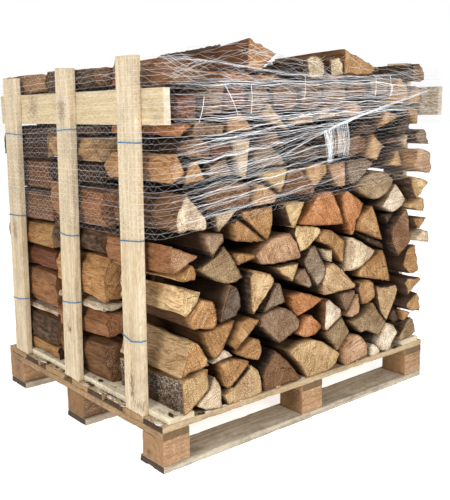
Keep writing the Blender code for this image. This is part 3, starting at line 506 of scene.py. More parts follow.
# A log's tones and the direction its bark faces, if it has any
Look = namedtuple("Look", "end side bark_way bark", defaults=[TONES["brown"]])
NEAR_RINGS = (0, 1.6, 5, 10, 17, 26, 38, 55, 80, 120, 180, 250)
SHORT_RINGS = (0, 2, 8, 18, 40, 90, 180)
HIDDEN_RINGS = (0, 4, 120)
BARK_SPREAD = math.radians(62)
FAR_FROM_BARK = 0.2
WORN_RIM = 1.4 * MM
# How far an end leans, as a slope, and how far a log bends half way along, in mm
MOST_LEAN = 0.05
MOST_BEND = 2


class SplitLog:
    """One log from its outline, X and height, and from its seen end to its other end. It is cut across at
    the rings, in mm from its seen end. A dense log shows its length: it is cut at that spacing, uneven and
    tapered."""

    def __init__(self, outline, near, far, look, draw, step=7 * MM, rings=NEAR_RINGS, dense=None,
                 most_taper=0.20, falls=None):
        self.near, self.look, self.step, self.dense = near, look, step, dense
        self.inwards = 1 if far > near else -1
        self.length = abs(far - near)
        self.loop = even_outline([Vector(point) for point in outline], step)
        self.middle = self.loop.mean(axis=0)
        self.outwards = outwards_of(self.loop)
        radius = np.linalg.norm(self.loop - self.middle, axis=1).max()
        if look.bark_way is None:
            self.barked = np.zeros(len(self.loop), bool)
            pith_way = draw.uniform(-math.pi, math.pi)
        else:
            facing = np.arctan2(self.outwards[:, 1], self.outwards[:, 0])
            self.barked = np.cos(facing - look.bark_way) > math.cos(BARK_SPREAD)
            pith_way = look.bark_way + math.pi
        self.bark = self.loop[self.barked]
        pith_aside = np.array([math.cos(pith_way), math.sin(pith_way)]) * radius * draw.uniform(0.5, 1.1)
        self.pith = self.middle + pith_aside
        self.seed = Vector([draw.uniform(0, 90) for _ in range(3)])
        self.number = draw.uniform(0, 100)
        if dense:
            evenly = np.linspace(6 * MM, self.length, max(3, round(self.length / dense)))
            self.depths = [0, 1.6 * MM, *evenly]
        else:
            self.depths = [mark * MM for mark in rings if mark * MM < self.length - 5 * MM] + [self.length]
        self.lean = Vector([draw.uniform(-MOST_LEAN, MOST_LEAN) for _ in range(2)])
        self.bend = Vector([draw.uniform(-MOST_BEND, MOST_BEND) for _ in range(2)]) * MM
        self.spread = (abs(self.lean.x) + abs(self.lean.y)) * radius
        self.taper = draw.uniform(0.2, 1.0) * most_taper if dense else 0.0
        self.taper_far = draw.random() < 0.5
        self.rests = self.loop[:, 1].min() if draw.random() < 0.6 else self.loop[:, 1].max()
        if falls is not None:
            self.taper, self.taper_far, self.rests = falls, True, self.loop[:, 1].min()

    def end_at(self, x, z, further=0.0):
        """Where the seen end lies here. It leans and is rough from the saw."""
        rough = noise.noise(Vector((x, 0, z)) * 130 + self.seed) * 0.7 * MM
        leaning = self.lean.x * (x - self.middle[0]) + self.lean.y * (z - self.middle[1])
        return self.near + self.inwards * (self.spread + leaning + rough + 0.4 * MM + further)

    def cut_back(self, index, depth):
        """How far the skin lies inside the outline: furrows of bark, or torn and wavy split wood."""
        x, z = self.loop[index]
        y = self.near + self.inwards * depth

        def waves(across, along):
            return noise.noise(Vector((x * across, y * along, z * across)) + self.seed)

        if self.barked[index]:
            edges = noise.voronoi(Vector((x * 85, y * 34, z * 85)) + self.seed)[0]
            cut = -1.0 + 3.4 * max(0.0, 1 - 2.6 * (edges[1] - edges[0]))
        elif self.dense:
            ridge = abs(noise.noise(Vector((x * 30, y * 9, z * 30)) - self.seed))
            cut = 3.4 * waves(60, 5) + 1.4 * waves(190, 11) + 6.0 * waves(14, 6) + 9.0 * ridge - 1.0
        else:
            cut = -0.4 + 2.2 * waves(60, 5) + 1.5 * waves(190, 11)
        if depth < 12 * MM:
            torn = waves(260, 0.0)
            cut += 1.6 * torn if torn > 0 else 0.6 * torn
        return max(cut, -2.5) * MM

    def skin_point(self, ring, index):
        depth = self.depths[ring]
        cut = self.cut_back(index, depth) + (WORN_RIM if ring == 0 else 0.0)
        x, z = self.loop[index]
        sway = depth / self.length
        x += self.bend.x * sway * (1 - sway) * 4 - self.outwards[index, 0] * cut
        z += self.bend.y * sway * (1 - sway) * 4 - self.outwards[index, 1] * cut
        z = self.rests + (z - self.rests) * (1 - self.taper * (sway if self.taper_far else 1 - sway))
        if ring < 2:
            return x, self.end_at(x, z, ring * WORN_RIM), z
        behind_end = self.spread * max(0.0, 1 - depth / (30 * MM)) if ring < 5 else 0.0
        return x, self.near + self.inwards * (depth + behind_end), z

    def told(self, x, y, z):
        """What a point tells the materials: its place from the pith, how far bark is, how deep it lies."""
        to_bark = FAR_FROM_BARK
        if len(self.bark):
            to_bark = float(np.hypot(self.bark[:, 0] - x, self.bark[:, 1] - z).min())
        recess = 0.0 if self.dense else max(0.0, abs(y - self.near) - self.spread)
        return (x - self.pith[0], z - self.pith[1]), to_bark, recess


class Pile:
    """Logs gathered into one mesh: points, faces, and what each of them tells the materials."""

    def __init__(self):
        self.points, self.faces, self.kinds, self.tones, self.numbers = [], [], [], [], []
        self.from_pith, self.to_bark, self.recess, self.from_rim = [], [], [], []

    def add_point(self, place, from_pith, to_bark=FAR_FROM_BARK, recess=0.0, from_rim=0.0):
        self.points.append(place)
        self.from_pith.append(from_pith)
        self.to_bark.append(to_bark)
        self.recess.append(recess)
        self.from_rim.append(from_rim)
        return len(self.points) - 1

    def add_face(self, corners, kind, tone, number):
        self.faces.append(corners)
        self.kinds.append(kind)
        self.tones.append(tone)
        self.numbers.append(number)

    def add_log(self, *given, **more):
        log = SplitLog(*given, **more)
        grid = []
        for ring in range(len(log.depths)):
            places = [log.skin_point(ring, index) for index in range(len(log.loop))]
            grid.append([self.add_point(place, *log.told(*place)) for place in places])
        for upper, lower in zip(grid, grid[1:]):
            for index in range(len(log.loop)):
                after = (index + 1) % len(log.loop)
                corners = (upper[index], upper[after], lower[after], lower[index])
                if log.barked[index] and log.barked[after]:
                    self.add_face(corners, BARK, log.look.bark, log.number)
                else:
                    self.add_face(corners, SPLIT_FACE, log.look.side, log.number)
        self.add_end(grid[0], log, seen=True)
        self.add_end(grid[-1], log, seen=False)

    def add_end(self, ring, log, seen):
        """A sawn end over a ring of points, cut fine where it is seen and plain where it is hidden."""
        edge = np.array([(self.points[index][0], self.points[index][2]) for index in ring])
        inner = []
        if seen:
            low, high = edge.min(axis=0), edge.max(axis=0)
            columns, rows = (np.arange(low[axis] + log.step / 2, high[axis], log.step) for axis in (0, 1))
            grid = np.stack(np.meshgrid(columns, rows), axis=2).reshape(-1, 2)
            clear = np.linalg.norm(grid[:, None] - edge[None], axis=2).min(axis=1) > log.step * 0.55
            inner = [Vector(spot) for spot in grid[clear & lie_inside(grid, edge)]]
        corners = [Vector(spot) for spot in edge]
        spots, _, triangles, origins, *_ = delaunay_2d_cdt(corners + inner, [], [list(range(len(edge)))], 1,
                                                           1e-7, True)
        places = []
        for spot, sources in zip(spots, origins):
            on_ring = [source for source in sources if source < len(edge)]
            if on_ring:
                places.append(ring[on_ring[0]])
            else:
                place = (spot.x, log.end_at(spot.x, spot.y) if seen else self.points[ring[0]][1], spot.y)
                from_rim = float(np.hypot(edge[:, 0] - spot.x, edge[:, 1] - spot.y).min())
                places.append(self.add_point(place, *log.told(*place), from_rim))
        flat, triangles = np.array([tuple(spot) for spot in spots]), np.array(triangles)
        for triangle in triangles[lie_inside(flat[triangles].mean(axis=1), edge)]:
            face = [places[index] for index in triangle]
            if len(set(face)) == 3:
                self.add_face(face, SAWN_END, log.look.end, log.number)

    def finish(self, name, finishes, replaced):
        mesh = bpy.data.meshes.new(name)
        mesh.from_pydata(self.points, [], self.faces)
        tones = [part for tone in self.tones for part in (*tone, 1.0)]
        from_pith = [part for x, z in self.from_pith for part in (x, 0.0, z)]
        for title, kind, domain, key, values in (
            ("tone", "FLOAT_COLOR", "FACE", "color", tones),
            ("log_number", "FLOAT", "FACE", "value", self.numbers),
            ("from_pith", "FLOAT_VECTOR", "POINT", "vector", from_pith),
            ("to_bark", "FLOAT", "POINT", "value", self.to_bark),
            ("recess", "FLOAT", "POINT", "value", self.recess),
            ("from_rim", "FLOAT", "POINT", "value", self.from_rim),
        ):
            mesh.attributes.new(title, kind, domain).data.foreach_set(key, values)
        for finish in finishes:
            mesh.materials.append(finish)
        mesh.polygons.foreach_set("material_index", self.kinds)
        piece = bpy.data.objects.new(name, mesh)
        bpy.context.scene.collection.objects.link(piece)
        select_only(piece)
        bpy.ops.object.mode_set(mode="EDIT")
        bpy.ops.mesh.select_all(action="SELECT")
        bpy.ops.mesh.normals_make_consistent(inside=False)
        bpy.ops.object.mode_set(mode="OBJECT")
        bpy.ops.object.shade_smooth_by_angle(angle=math.radians(38))
        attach(piece, "root")
        if replaced:
            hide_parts(*replaced)


def told_by(tree, name, output="Fac"):
    """What the points or faces of a pile tell under this name."""
    return put(tree, "ShaderNodeAttribute", {"attribute_name": name}).outputs[output]


def wood_noise(tree, scale, number, detail=3.0, along=0.05, roughness=0.55, place=None):
    """Noise drawn out along the log, in another place for each log."""
    place = place or put(tree, "ShaderNodeTexCoord").outputs["Object"]
    return noise_at(tree, scaled(tree, place, (1.0, along, 1.0)), scale, detail, roughness, W=number)


def curved_grain(tree, number):
    """Places pushed up to 9 mm aside over each 12 cm of length, so that the grain drawn from them curves."""
    place = put(tree, "ShaderNodeTexCoord").outputs["Object"]
    sway = put(tree, "ShaderNodeTexNoise", {"noise_dimensions": "4D"}, Vector=place, W=number, Scale=8.0,
               Detail=1.0).outputs["Color"]
    centred = put(tree, "ShaderNodeVectorMath", {"operation": "SUBTRACT"}, i0=sway, i1=(0.5, 0.5, 0.5))
    return put(tree, "ShaderNodeVectorMath", {"operation": "MULTIPLY_ADD"}, i0=centred.outputs[0],
               i1=(0.06, 0.0, 0.06), i2=place).outputs[0]


def shaded_deep_in_stack(tree, colour):
    """The colour darkened a little everywhere and much more away from the log's end: painted shade, deep in
    the stack where little light reaches between the logs.
    """
    share = between(tree, told_by(tree, "recess"), 1 * MM, 34 * MM, 0.30, 0.96)
    return mixed_colour(tree, share, colour, multiplied(tree, colour, 0.13, 0.10, 0.08))


def sawn_end_material():
    """Chain sawn end grain: growth rings drawn 6 mm apart, rays and drying cracks out from the pith,
    furrows of the chain 7 mm apart, torn fibres and dust, a dark rim where the bark is, and painted shade
    darkening the end within a few mm of its edge, where the gaps between the logs are."""
    made, tree = new_material("chain sawn end grain")
    fresh = told_by(tree, "tone", "Color")
    number = told_by(tree, "log_number")
    pith = told_by(tree, "from_pith", "Vector")
    place = put(tree, "ShaderNodeTexCoord").outputs["Object"]
    wander = noise_at(tree, place, 28.0, W=number)
    distance = put(tree, "ShaderNodeVectorMath", {"operation": "LENGTH"}, i0=pith).outputs["Value"]
    wobbled = worked_out(tree, "MULTIPLY_ADD", wander, 12 * MM, distance)
    rings = worked_out(tree, "SINE", worked_out(tree, "MULTIPLY", wobbled, 2 * math.pi / (6 * MM)))
    parts = put(tree, "ShaderNodeSeparateXYZ", Vector=pith)
    angle = worked_out(tree, "ARCTAN2", parts.outputs["Z"], parts.outputs["X"])
    spokes = put(tree, "ShaderNodeCombineXYZ", X=worked_out(tree, "MULTIPLY", angle, 11.0),
                 Y=worked_out(tree, "MULTIPLY", distance, 16.0), Z=number).outputs[0]
    crack = between(tree, noise_at(tree, spokes, 1.6, 4.0, 0.7), 0.61, 0.66)
    turned = put(tree, "ShaderNodeVectorRotate", {"rotation_type": "Y_AXIS"}, Vector=place,
                 Angle=worked_out(tree, "MULTIPLY", number, 1.7)).outputs[0]
    furrows = noise_at(tree, scaled(tree, turned, (1.0, 1.0, 0.10)), 150.0, 3.0, 0.6, W=number)
    fuzz = noise_at(tree, place, 360.0, 2.0, 0.6)
    blotch = noise_at(tree, place, 17.0, W=number)
    bark_edge = worked_out(tree, "MULTIPLY_ADD", wander, 5 * MM, told_by(tree, "to_bark"))
    # Painted shade: the end darkens within a few mm of its edge, as the gaps between the logs shade it.
    rim = worked_out(tree, "MULTIPLY_ADD", wander, -14 * MM, told_by(tree, "from_rim"))
    deep = multiplied(tree, fresh, 0.33, 0.24, 0.18)
    bright = mixed_colour(tree, 0.14, multiplied(tree, fresh, 1.30, 1.32, 1.34), (0.9, 0.87, 0.8, 1))
    colour = layered(
        tree, multiplied(tree, fresh, 0.87, 0.86, 0.87),
        (deep, rings, -0.2, 1.0, 0.45), (deep, blotch, 0.46, 0.66, 0.62),
        (bright, blotch, 0.46, 0.34, 0.5), (bright, furrows, 0.54, 0.68, 0.45),
        (deep, furrows, 0.46, 0.34, 0.70), (bright, fuzz, 0.55, 0.68, 0.85),
        (deep, fuzz, 0.47, 0.36, 0.85), (paint("#3A2618"), crack, 0.0, 1.0, 0.85),
        (paint("#4B392B"), bark_edge, 8.5 * MM, 6.0 * MM, 0.9), (deep, rim, -2.5 * MM, -7.5 * MM, 0.85))
    relief = worked_out(tree, "MULTIPLY_ADD", furrows, 1.2, fuzz)
    relief = worked_out(tree, "SUBTRACT", relief, worked_out(tree, "MULTIPLY", crack, 1.2))
    return shade(made, Base_Color=colour, Normal=bump(tree, relief, 0.9, 2.5 * MM), Roughness=0.92,
                 Specular_IOR_Level=0.15)


def split_face_material():
    """Wood torn along its grain: long fibres, streaks of heartwood and sapwood, a silky dull surface."""
    made, tree = new_material("split hardwood face")
    tone = told_by(tree, "tone", "Color")
    number = told_by(tree, "log_number")
    curved = curved_grain(tree, number)
    streaks = wood_noise(tree, 60.0, number, 6.0, 0.12, 0.62, curved)
    fibres = wood_noise(tree, 250.0, number, 4.0, 0.05, 0.7, curved)
    torn = wood_noise(tree, 330.0, number, 2.0, 0.45, 0.6)
    blotch = wood_noise(tree, 16.0, number, 5.0, 0.5)
    pale = multiplied(tree, tone, 1.6, 1.55, 1.45)
    colour = layered(
        tree, tone, (multiplied(tree, tone, 0.66, 0.53, 0.41), streaks, 0.44, 0.58, 1.0),
        (pale, fibres, 0.52, 0.64, 0.55), (pale, torn, 0.55, 0.68, 0.40),
        (paint("#4A3020"), torn, 0.46, 0.34, 0.38), (paint("#38231A"), fibres, 0.46, 0.34, 0.75),
        (paint("#4A3323"), blotch, 0.56, 0.70, 0.55))
    relief = worked_out(tree, "MULTIPLY_ADD", streaks, 0.8, fibres)
    # The colour is darkened away from the log's end: painted shade deep in the stack.
    return shade(made, Base_Color=shaded_deep_in_stack(tree, colour), Normal=bump(tree, relief, 1.0, 3 * MM),
                 Roughness=0.78, Specular_IOR_Level=0.25)


def bark_material():
    """Furrowed hardwood bark: dark cracks between plates 10 mm wide, grey weathered tops, pale lichen."""
    made, tree = new_material("furrowed bark")
    number = told_by(tree, "log_number")
    weathered = between(tree, told_by(tree, "tone"), 0.15, 0.42, 0.06, 1.0)
    drawn = scaled(tree, put(tree, "ShaderNodeTexCoord").outputs["Object"], (1.0, 0.4, 1.0))
    plates = put(tree, "ShaderNodeTexVoronoi", {"voronoi_dimensions": "4D", "feature": "F1"}, Vector=drawn,
                 W=number, Scale=85.0).outputs["Distance"]
    coarse = wood_noise(tree, 60.0, number, 5.0, 0.35, 0.65)
    specks = wood_noise(tree, 240.0, number, 4.0, 0.8, 0.7)
    lichen = wood_noise(tree, 7.0, number, 2.0, 0.6)
    patches = worked_out(tree, "MULTIPLY", between(tree, lichen, 0.38, 0.55, 0.15, 1.0), weathered)
    pale = worked_out(tree, "MULTIPLY", between(tree, specks, 0.50, 0.60), patches)
    colour = layered(
        tree, paint("#46301F"), (paint("#79604A"), coarse, 0.38, 0.62, 1.0),
        (paint("#2A1A12"), plates, 0.45, 0.8, 0.7), (paint("#BDB3A4"), pale, 0.0, 1.0, 1.0),
        (paint("#241812"), specks, 0.45, 0.34, 0.8))
    relief = worked_out(tree, "SUBTRACT", coarse, worked_out(tree, "MULTIPLY", plates, 0.8))
    # The colour is darkened away from the log's end: painted shade deep in the stack.
    return shade(made, Base_Color=shaded_deep_in_stack(tree, colour), Normal=bump(tree, relief, 0.9, 2.5 * MM),
                 Roughness=0.93, Specular_IOR_Level=0.2)


log_finishes = [sawn_end_material(), split_face_material(), bark_material()]


def flat_groups(faces):
    """The faces in groups that touch along edges."""
    left = dict.fromkeys(faces)
    while left:
        group, to_visit = {}, [left.popitem()[0]]
        while to_visit:
            face = to_visit.pop()
            group[face] = True
            for edge in face.edges:
                for other in edge.link_faces:
                    if other in left:
                        del left[other]
                        to_visit.append(other)
        yield group


def rim_of(group):
    """The points round a group of faces, in order."""
    onward = {}
    for face in group:
        for loop in face.loops:
            if all(other not in group for other in loop.edge.link_faces if other != face):
                onward[loop.vert] = loop.link_loop_next.vert
    rim = [next(iter(onward))]
    while onward[rim[-1]] != rim[0] and len(rim) <= len(onward):
        rim.append(onward[rim[-1]])
    return rim


def ends_of(name, facing, beyond):
    """The sawn ends on a row's solid, from a merged copy of it: outline in X and height, and their Y."""
    shape = bmesh.new()
    shape.from_mesh(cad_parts[name].data)
    bmesh.ops.remove_doubles(shape, verts=shape.verts, dist=0.02 * MM)
    caps = [face for face in shape.faces
            if face.normal.y * facing > 0.99 and face.calc_center_median().y * facing > beyond]
    rims = [rim_of(group) for group in flat_groups(caps)]
    found = [([(point.co.x, point.co.z) for point in rim], rim[0].co.y) for rim in rims]
    shape.free()
    return sorted(found, key=lambda item: (round(item[0][0][1], 3), item[0][0][0]))


def middle_of(outline):
    return tuple(sum(values) / len(outline) for values in zip(*outline))


HALF_LENGTH = 0.6
FRONT_EDGE = -0.5
OPEN_LEFT = -0.50
UNDER_NET = 83
SIDE_REACH = 0.552
TOP_HEIGHT = 1.03


def seen_place(outline, near):
    """Where the end appears on the plane of the pallet's front edge, in cm from its left corner."""
    x, z = middle_of(outline)
    share = (FRONT_EDGE - EYE.y) / (near - EYE.y)
    return ((EYE.x + (x - EYE.x) * share + HALF_LENGTH) / CM, (EYE.z + (z - EYE.z) * share) / CM)


def front_look(outline, near, draw):
    """The look that is noted nearest to where this end appears."""
    spot = seen_place(outline, near)
    noted = [(place, look) for look, places in FRONT_LOOKS.items() for place in places]
    end, side = min(noted, key=lambda entry: math.dist(spot, entry[0]))[1]
    has_bark = "bark" in side
    bark_way = math.pi if has_bark else draw.choice((None, None, None, -0.4, -1.6, 1.5))
    if not has_bark and min(x for x, _ in outline) < OPEN_LEFT:
        bark_way = None
    side_tone = end if has_bark or side == "same" else side
    bark = "cream" if side == "weathered bark" else "brown"
    return Look(TONES[end], TONES[side_tone], bark_way, TONES[bark])


def is_outer(outline):
    """True where more than the end of the log shows: at the sides of the stack and on its top."""
    return (min(x for x, _ in outline) < -SIDE_REACH or max(x for x, _ in outline) > SIDE_REACH
            or max(z for _, z in outline) > TOP_HEIGHT)


def sharpened(outline, shortest=16 * MM, furthest=14 * MM):
    """Brings the two ends of each short side together where the sides beside it would meet."""
    points = [Vector(point) for point in outline]
    place = 0
    while place < len(points) and len(points) > 3:
        before, start, end, after = (points[(place + step) % len(points)] for step in (-1, 0, 1, 2))
        first, second, gap = start - before, after - end, end - start
        turn = first.x * second.y - first.y * second.x
        if gap.length < shortest and abs(turn) > 0.3 * first.length * second.length:
            reach = (gap.x * second.y - gap.y * second.x) / turn
            if 0 <= reach * first.length < furthest:
                points[place] = start + first * reach
                points.pop((place + 1) % len(points))
                continue
        place += 1
    return [tuple(point) for point in points]


def wedge(outline, corners):
    """Leaves out the corners that change the outline least, as a log split once more would."""
    points = [Vector(point) for point in outline]
    while len(points) > corners:
        spans = []
        for place, point in enumerate(points):
            before, after = points[place - 1] - point, points[(place + 1) % len(points)] - point
            spans.append(abs(before.x * after.y - before.y * after.x))
        points.pop(spans.index(min(spans)))
    return [tuple(point) for point in points]


draw = Random(19)
BEYOND_FRONT = 0.470
front_ends = ends_of("firewood_front_row", -1, BEYOND_FRONT)
front_back_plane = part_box("firewood_front_row")[1].y
halves = {"left": Pile(), "right": Pile()}
for outline, near in front_ends:
    pile = halves["left" if middle_of(outline)[0] < 0 else "right"]
    open_left = min(x for x, _ in outline) < OPEN_LEFT
    outer = is_outer(outline) or open_left
    under_net = seen_place(outline, near)[1] > UNDER_NET
    if under_net and open_left:
        outline = wedge(outline, 4)
    if under_net and not outer:
        outline = wedge(sharpened(outline), draw.choice((3, 4, 4, 5)))
        outline = [(x + draw.uniform(-9, 9) * MM, z + draw.uniform(-9, 9) * MM) for x, z in outline]
    far = front_back_plane - draw.uniform(0, 14) * MM
    pile.add_log(outline, near, far, front_look(outline, near, draw), draw, dense=10 * MM if outer else None)
for side, pile in halves.items():
    pile.finish(f"firewood_front_{side}_logs", log_finishes, ["firewood_front_row"])

# The middle row
# Its ends are hidden between the other two rows: only its logs against the posts and on top show.
MIDDLE_SIDE = (  # lowest, highest, reach in cm, look of the side
    (16.2, 29.4, 19, "brown"), (30, 39.4, 17, "warm brown"), (39.8, 42.6, 13, "pale"),
    (43.2, 57.6, 20, "orange tan"), (58.2, 66, 17, "bark"), (66.6, 79.6, 19, "warm brown"),
    (80.2, 86, 15, "umber"), (86.4, 94, 18, "tan"), (94.5, 97.4, 12, "dark"), (97.8, 107.2, 17, "bark"),
    (107.8, 114.6, 19, "bark"),
)
MIDDLE_TOP = (
    [(44, 111), (44.6, 119.6), (51.2, 122.4), (56, 119.1), (56.6, 111.4)],
    [(88, 109.6), (88.6, 115.4), (95, 116.8), (100.4, 114), (99.6, 109)],
)
SIDE_START = 2.75
RAIL_INNER = 4.75
TOP_RAIL = (97.5, 107.6)
SIDE_LOGS_REACH = 17.0
middle_low, middle_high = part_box("firewood_middle_row")


def in_frame(points):
    """Places in the frame's own metres, from cm from the pallet's left corner."""
    return [(x * CM - HALF_LENGTH, z * CM) for x, z in points]


def ridged(outline, draw, deepest=26 * MM):
    """Breaks the flat left side of a log into two faces that meet in a ridge, where it was split twice."""
    left = min(x for x, _ in outline)
    side = [index for index, (x, _) in enumerate(outline) if x < left + 8 * MM]
    if len(side) < 2:
        return outline
    low = min(side, key=lambda index: outline[index][1])
    high = max(side, key=lambda index: outline[index][1])
    tall = outline[high][1] - outline[low][1]
    back = min(0.3 * tall, deepest)
    at_low, at_high = (draw.uniform(0.1, 0.5), 1.0) if draw.random() < 0.5 else (1.0, draw.uniform(0.1, 0.5))
    changed = list(outline)
    changed[low] = (outline[low][0] + back * at_low, outline[low][1])
    changed[high] = (outline[high][0] + back * at_high, outline[high][1])
    ridge = (left, outline[low][1] + tall * draw.uniform(0.3, 0.7))
    changed.insert(max(low, high) if abs(high - low) == 1 else len(outline), ridge)
    return changed


def side_log(low, high, reach):
    """A log lying against the left posts, inside the top rail where that runs."""
    start = RAIL_INNER if high > TOP_RAIL[0] and low < TOP_RAIL[1] else SIDE_START
    return in_frame([(start, low), (reach * 0.75, low), (reach, (low + high) / 2), (reach * 0.7, high),
                     (start + 0.4, high - 0.5)])


draw = Random(5)
middle = Pile()
for low, high, reach, side in MIDDLE_SIDE:
    tone = TONES["brown" if side == "bark" else side]
    look = Look(tone, tone, math.pi if side == "bark" else None)
    outline = ridged(side_log(low, high, reach), draw)
    middle.add_log(outline, middle_low.y + draw.uniform(0, 16) * MM, middle_high.y - draw.uniform(0, 16) * MM,
                   look, draw, dense=8 * MM)
for points in MIDDLE_TOP:
    look = Look(TONES["brown"], TONES["brown"], 1.57)
    middle.add_log(in_frame(points), middle_low.y, middle_high.y, look, draw, dense=10 * MM)
for outline, _ in front_ends:
    turned = [(-x, z) for x, z in reversed(outline)]
    if middle_of(turned)[0] + HALF_LENGTH > SIDE_LOGS_REACH * CM:
        tone = TONES[draw.choice(("tan", "brown", "ochre", "grey brown"))]
        look = Look(tone, tone, draw.choice((None, 1.6, 0.0)))
        step, dense = (9 * MM, 12 * MM) if is_outer(turned) else (18 * MM, None)
        middle.add_log(turned, middle_low.y, middle_high.y, look, draw, step=step, rings=HIDDEN_RINGS,
                       dense=dense)
middle.finish("firewood_middle_logs", log_finishes, ["firewood_middle_row"])

# The back row
# Its ends face the back of the pallet and its left logs stick out past the back post.
BACK_SIDE = (  # lowest, highest in cm, look of the side
    (16.2, 21, "ochre"), (21.4, 31, "bark"), (31.4, 34, "pale"), (34.6, 47.4, "warm brown"),
    (47.8, 55, "red brown"), (55.6, 64.2, "ochre"), (64.8, 75, "brown"), (75.6, 84.2, "deep brown"),
    (84.8, 97.2, "umber"), (97.8, 107.2, "bark"), (107.8, 114.4, "weathered tan"),
)
BEYOND_BACK = 0.460


def back_look(outline, draw):
    x, z = middle_of(outline)
    end = draw.choice(tuple(TONES))
    side, bark_way = end, draw.choice((None, None, 0.0, 1.6, 3.1))
    if x < -SIDE_REACH + 0.08:
        side = min(BACK_SIDE, key=lambda entry: abs((entry[0] + entry[1]) / 2 - z / CM))[2]
        bark_way = math.pi if side == "bark" else None
    return Look(TONES[end], TONES["brown" if side == "bark" else side], bark_way)


draw = Random(8)
back = Pile()
back_front_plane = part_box("firewood_back_row")[0].y
for outline, near in ends_of("firewood_back_row", 1, BEYOND_BACK):
    dense = 12 * MM if is_outer(outline) else None
    if min(x for x, _ in outline) < -SIDE_REACH:
        outline = ridged(outline, draw, 8 * MM)
    back.add_log(outline, near, back_front_plane, back_look(outline, draw), draw, step=12 * MM,
                 rings=SHORT_RINGS, dense=dense, most_taper=0.04)
back.finish("firewood_back_logs", log_finishes, ["firewood_back_row"])

# Loose logs
# Five split logs thrown on top of the front row, each lying on the logs below it.
LOOSE_LOOKS = (  # end, side, where bark faces, share of its height lost to the back
    ("orange tan", "deep brown", None, 0.36), ("cream", "brown", 3.0, 0.05), ("cream", "brown", 3.0, 0.05),
    ("tan", "brown", None, 0.12), ("grey brown", "brown", 2.6, 0.05),
)
draw = Random(3)
for number, (end, side, bark_way, falls) in enumerate(LOOSE_LOOKS, start=1):
    name = f"loose_log_{number}"
    loose = Pile()
    for outline, near in ends_of(name, -1, BEYOND_FRONT):
        loose.add_log(outline, near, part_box(name)[1].y, Look(TONES[end], TONES[side], bark_way), draw,
                      step=6 * MM, dense=7 * MM, falls=falls)
    loose.finish(name + "_split", log_finishes, [name])

# Chips
# Splinters and flakes of bark, 10 to 40 mm long and torn at their edges, that fell while the rows were
# stacked: they lie on the deck's left edge between the posts, on the bottom rail and before the logs.
CHIP_SIDES = 8
CHIP_TONES = ("#F6F0E2", "#F1E8D6", "#EDE0C6", "#E2CFA8", "#54392A")
CHIP_PLACES = (  # X from and to, Y from and to, height of what they lie on, how many
    (-0.596, -0.582, -0.49, -0.41, 0.142, 7), (-0.596, -0.582, -0.30, -0.03, 0.142, 26),
    (-0.596, -0.582, 0.07, 0.34, 0.142, 22), (-0.596, -0.582, 0.44, 0.485, 0.142, 4),
    (-0.572, -0.555, -0.49, 0.48, 0.161, 26), (-0.555, -0.515, -0.495, -0.47, 0.161, 7),
    (-0.46, 0.55, -0.499, -0.488, 0.142, 16),
)


def add_chip(pile, place, length, width, thickness, turn, tone, draw):
    """A thin flake with a torn outline and a top of uneven height."""
    number = draw.uniform(0, 100)
    lower, upper = [], []
    for side in range(CHIP_SIDES):
        way = 2 * math.pi * side / CHIP_SIDES
        ragged = draw.uniform(0.6, 1.0)
        along, aside = length / 2 * ragged * math.cos(way), width / 2 * ragged * math.sin(way)
        x = place[0] + along * math.cos(turn) - aside * math.sin(turn)
        y = place[1] + along * math.sin(turn) + aside * math.cos(turn)
        for ring, height in ((lower, 0.0), (upper, thickness * draw.uniform(0.5, 1.0))):
            ring.append(pile.add_point((x, y, place[2] + height), (x * 0.5, place[2])))
    for side in range(CHIP_SIDES):
        after = (side + 1) % CHIP_SIDES
        pile.add_face((lower[side], lower[after], upper[after], upper[side]), SPLIT_FACE, tone, number)
    pile.add_face(tuple(upper), SPLIT_FACE, tone, number)
    pile.add_face(tuple(reversed(lower)), SPLIT_FACE, tone, number)


draw = Random(4)
chips = Pile()
for x_from, x_to, y_from, y_to, height, count in CHIP_PLACES:
    for _ in range(count):
        length = draw.uniform(10, 42) * MM
        tone = from_hex(draw.choice(CHIP_TONES))
        turn = draw.uniform(-0.5, 0.5) + (math.pi / 2 if x_to - x_from < 0.1 else 0.0)
        place = (draw.uniform(x_from, x_to), draw.uniform(y_from, y_to), height)
        width, thickness = length * draw.uniform(0.2, 0.5), draw.uniform(2, 6) * MM
        add_chip(chips, place, length, width, thickness, turn, tone, draw)
chips.finish("wood_chips", log_finishes, [])

# Twine ties
# Blue polypropylene baler twine, two plies twisted together, round each post and in between the logs.
TWINE = 2.8 * MM
PLY = 1.2 * MM
TWIST = 11 * MM
TWINE_STEP = 2.5 * MM
TIES = (  # post, place, height at its near edge, at its middle and at its far edge
    ("front", "low", 0.370, 0.360, 0.373), ("front", "middle", 0.660, 0.656, 0.652),
    ("front", "high", 0.930, 0.930, 0.930), ("middle", "low", 0.413, 0.405, 0.402),
    ("middle", "middle", 0.632, 0.628, 0.633), ("middle", "high", 0.962, 0.961, 0.956),
    ("back", "low", 0.355, 0.346, 0.345), ("back", "middle", 0.658, 0.656, 0.655),
    ("back", "high", 0.941, 0.943, 0.943),
)


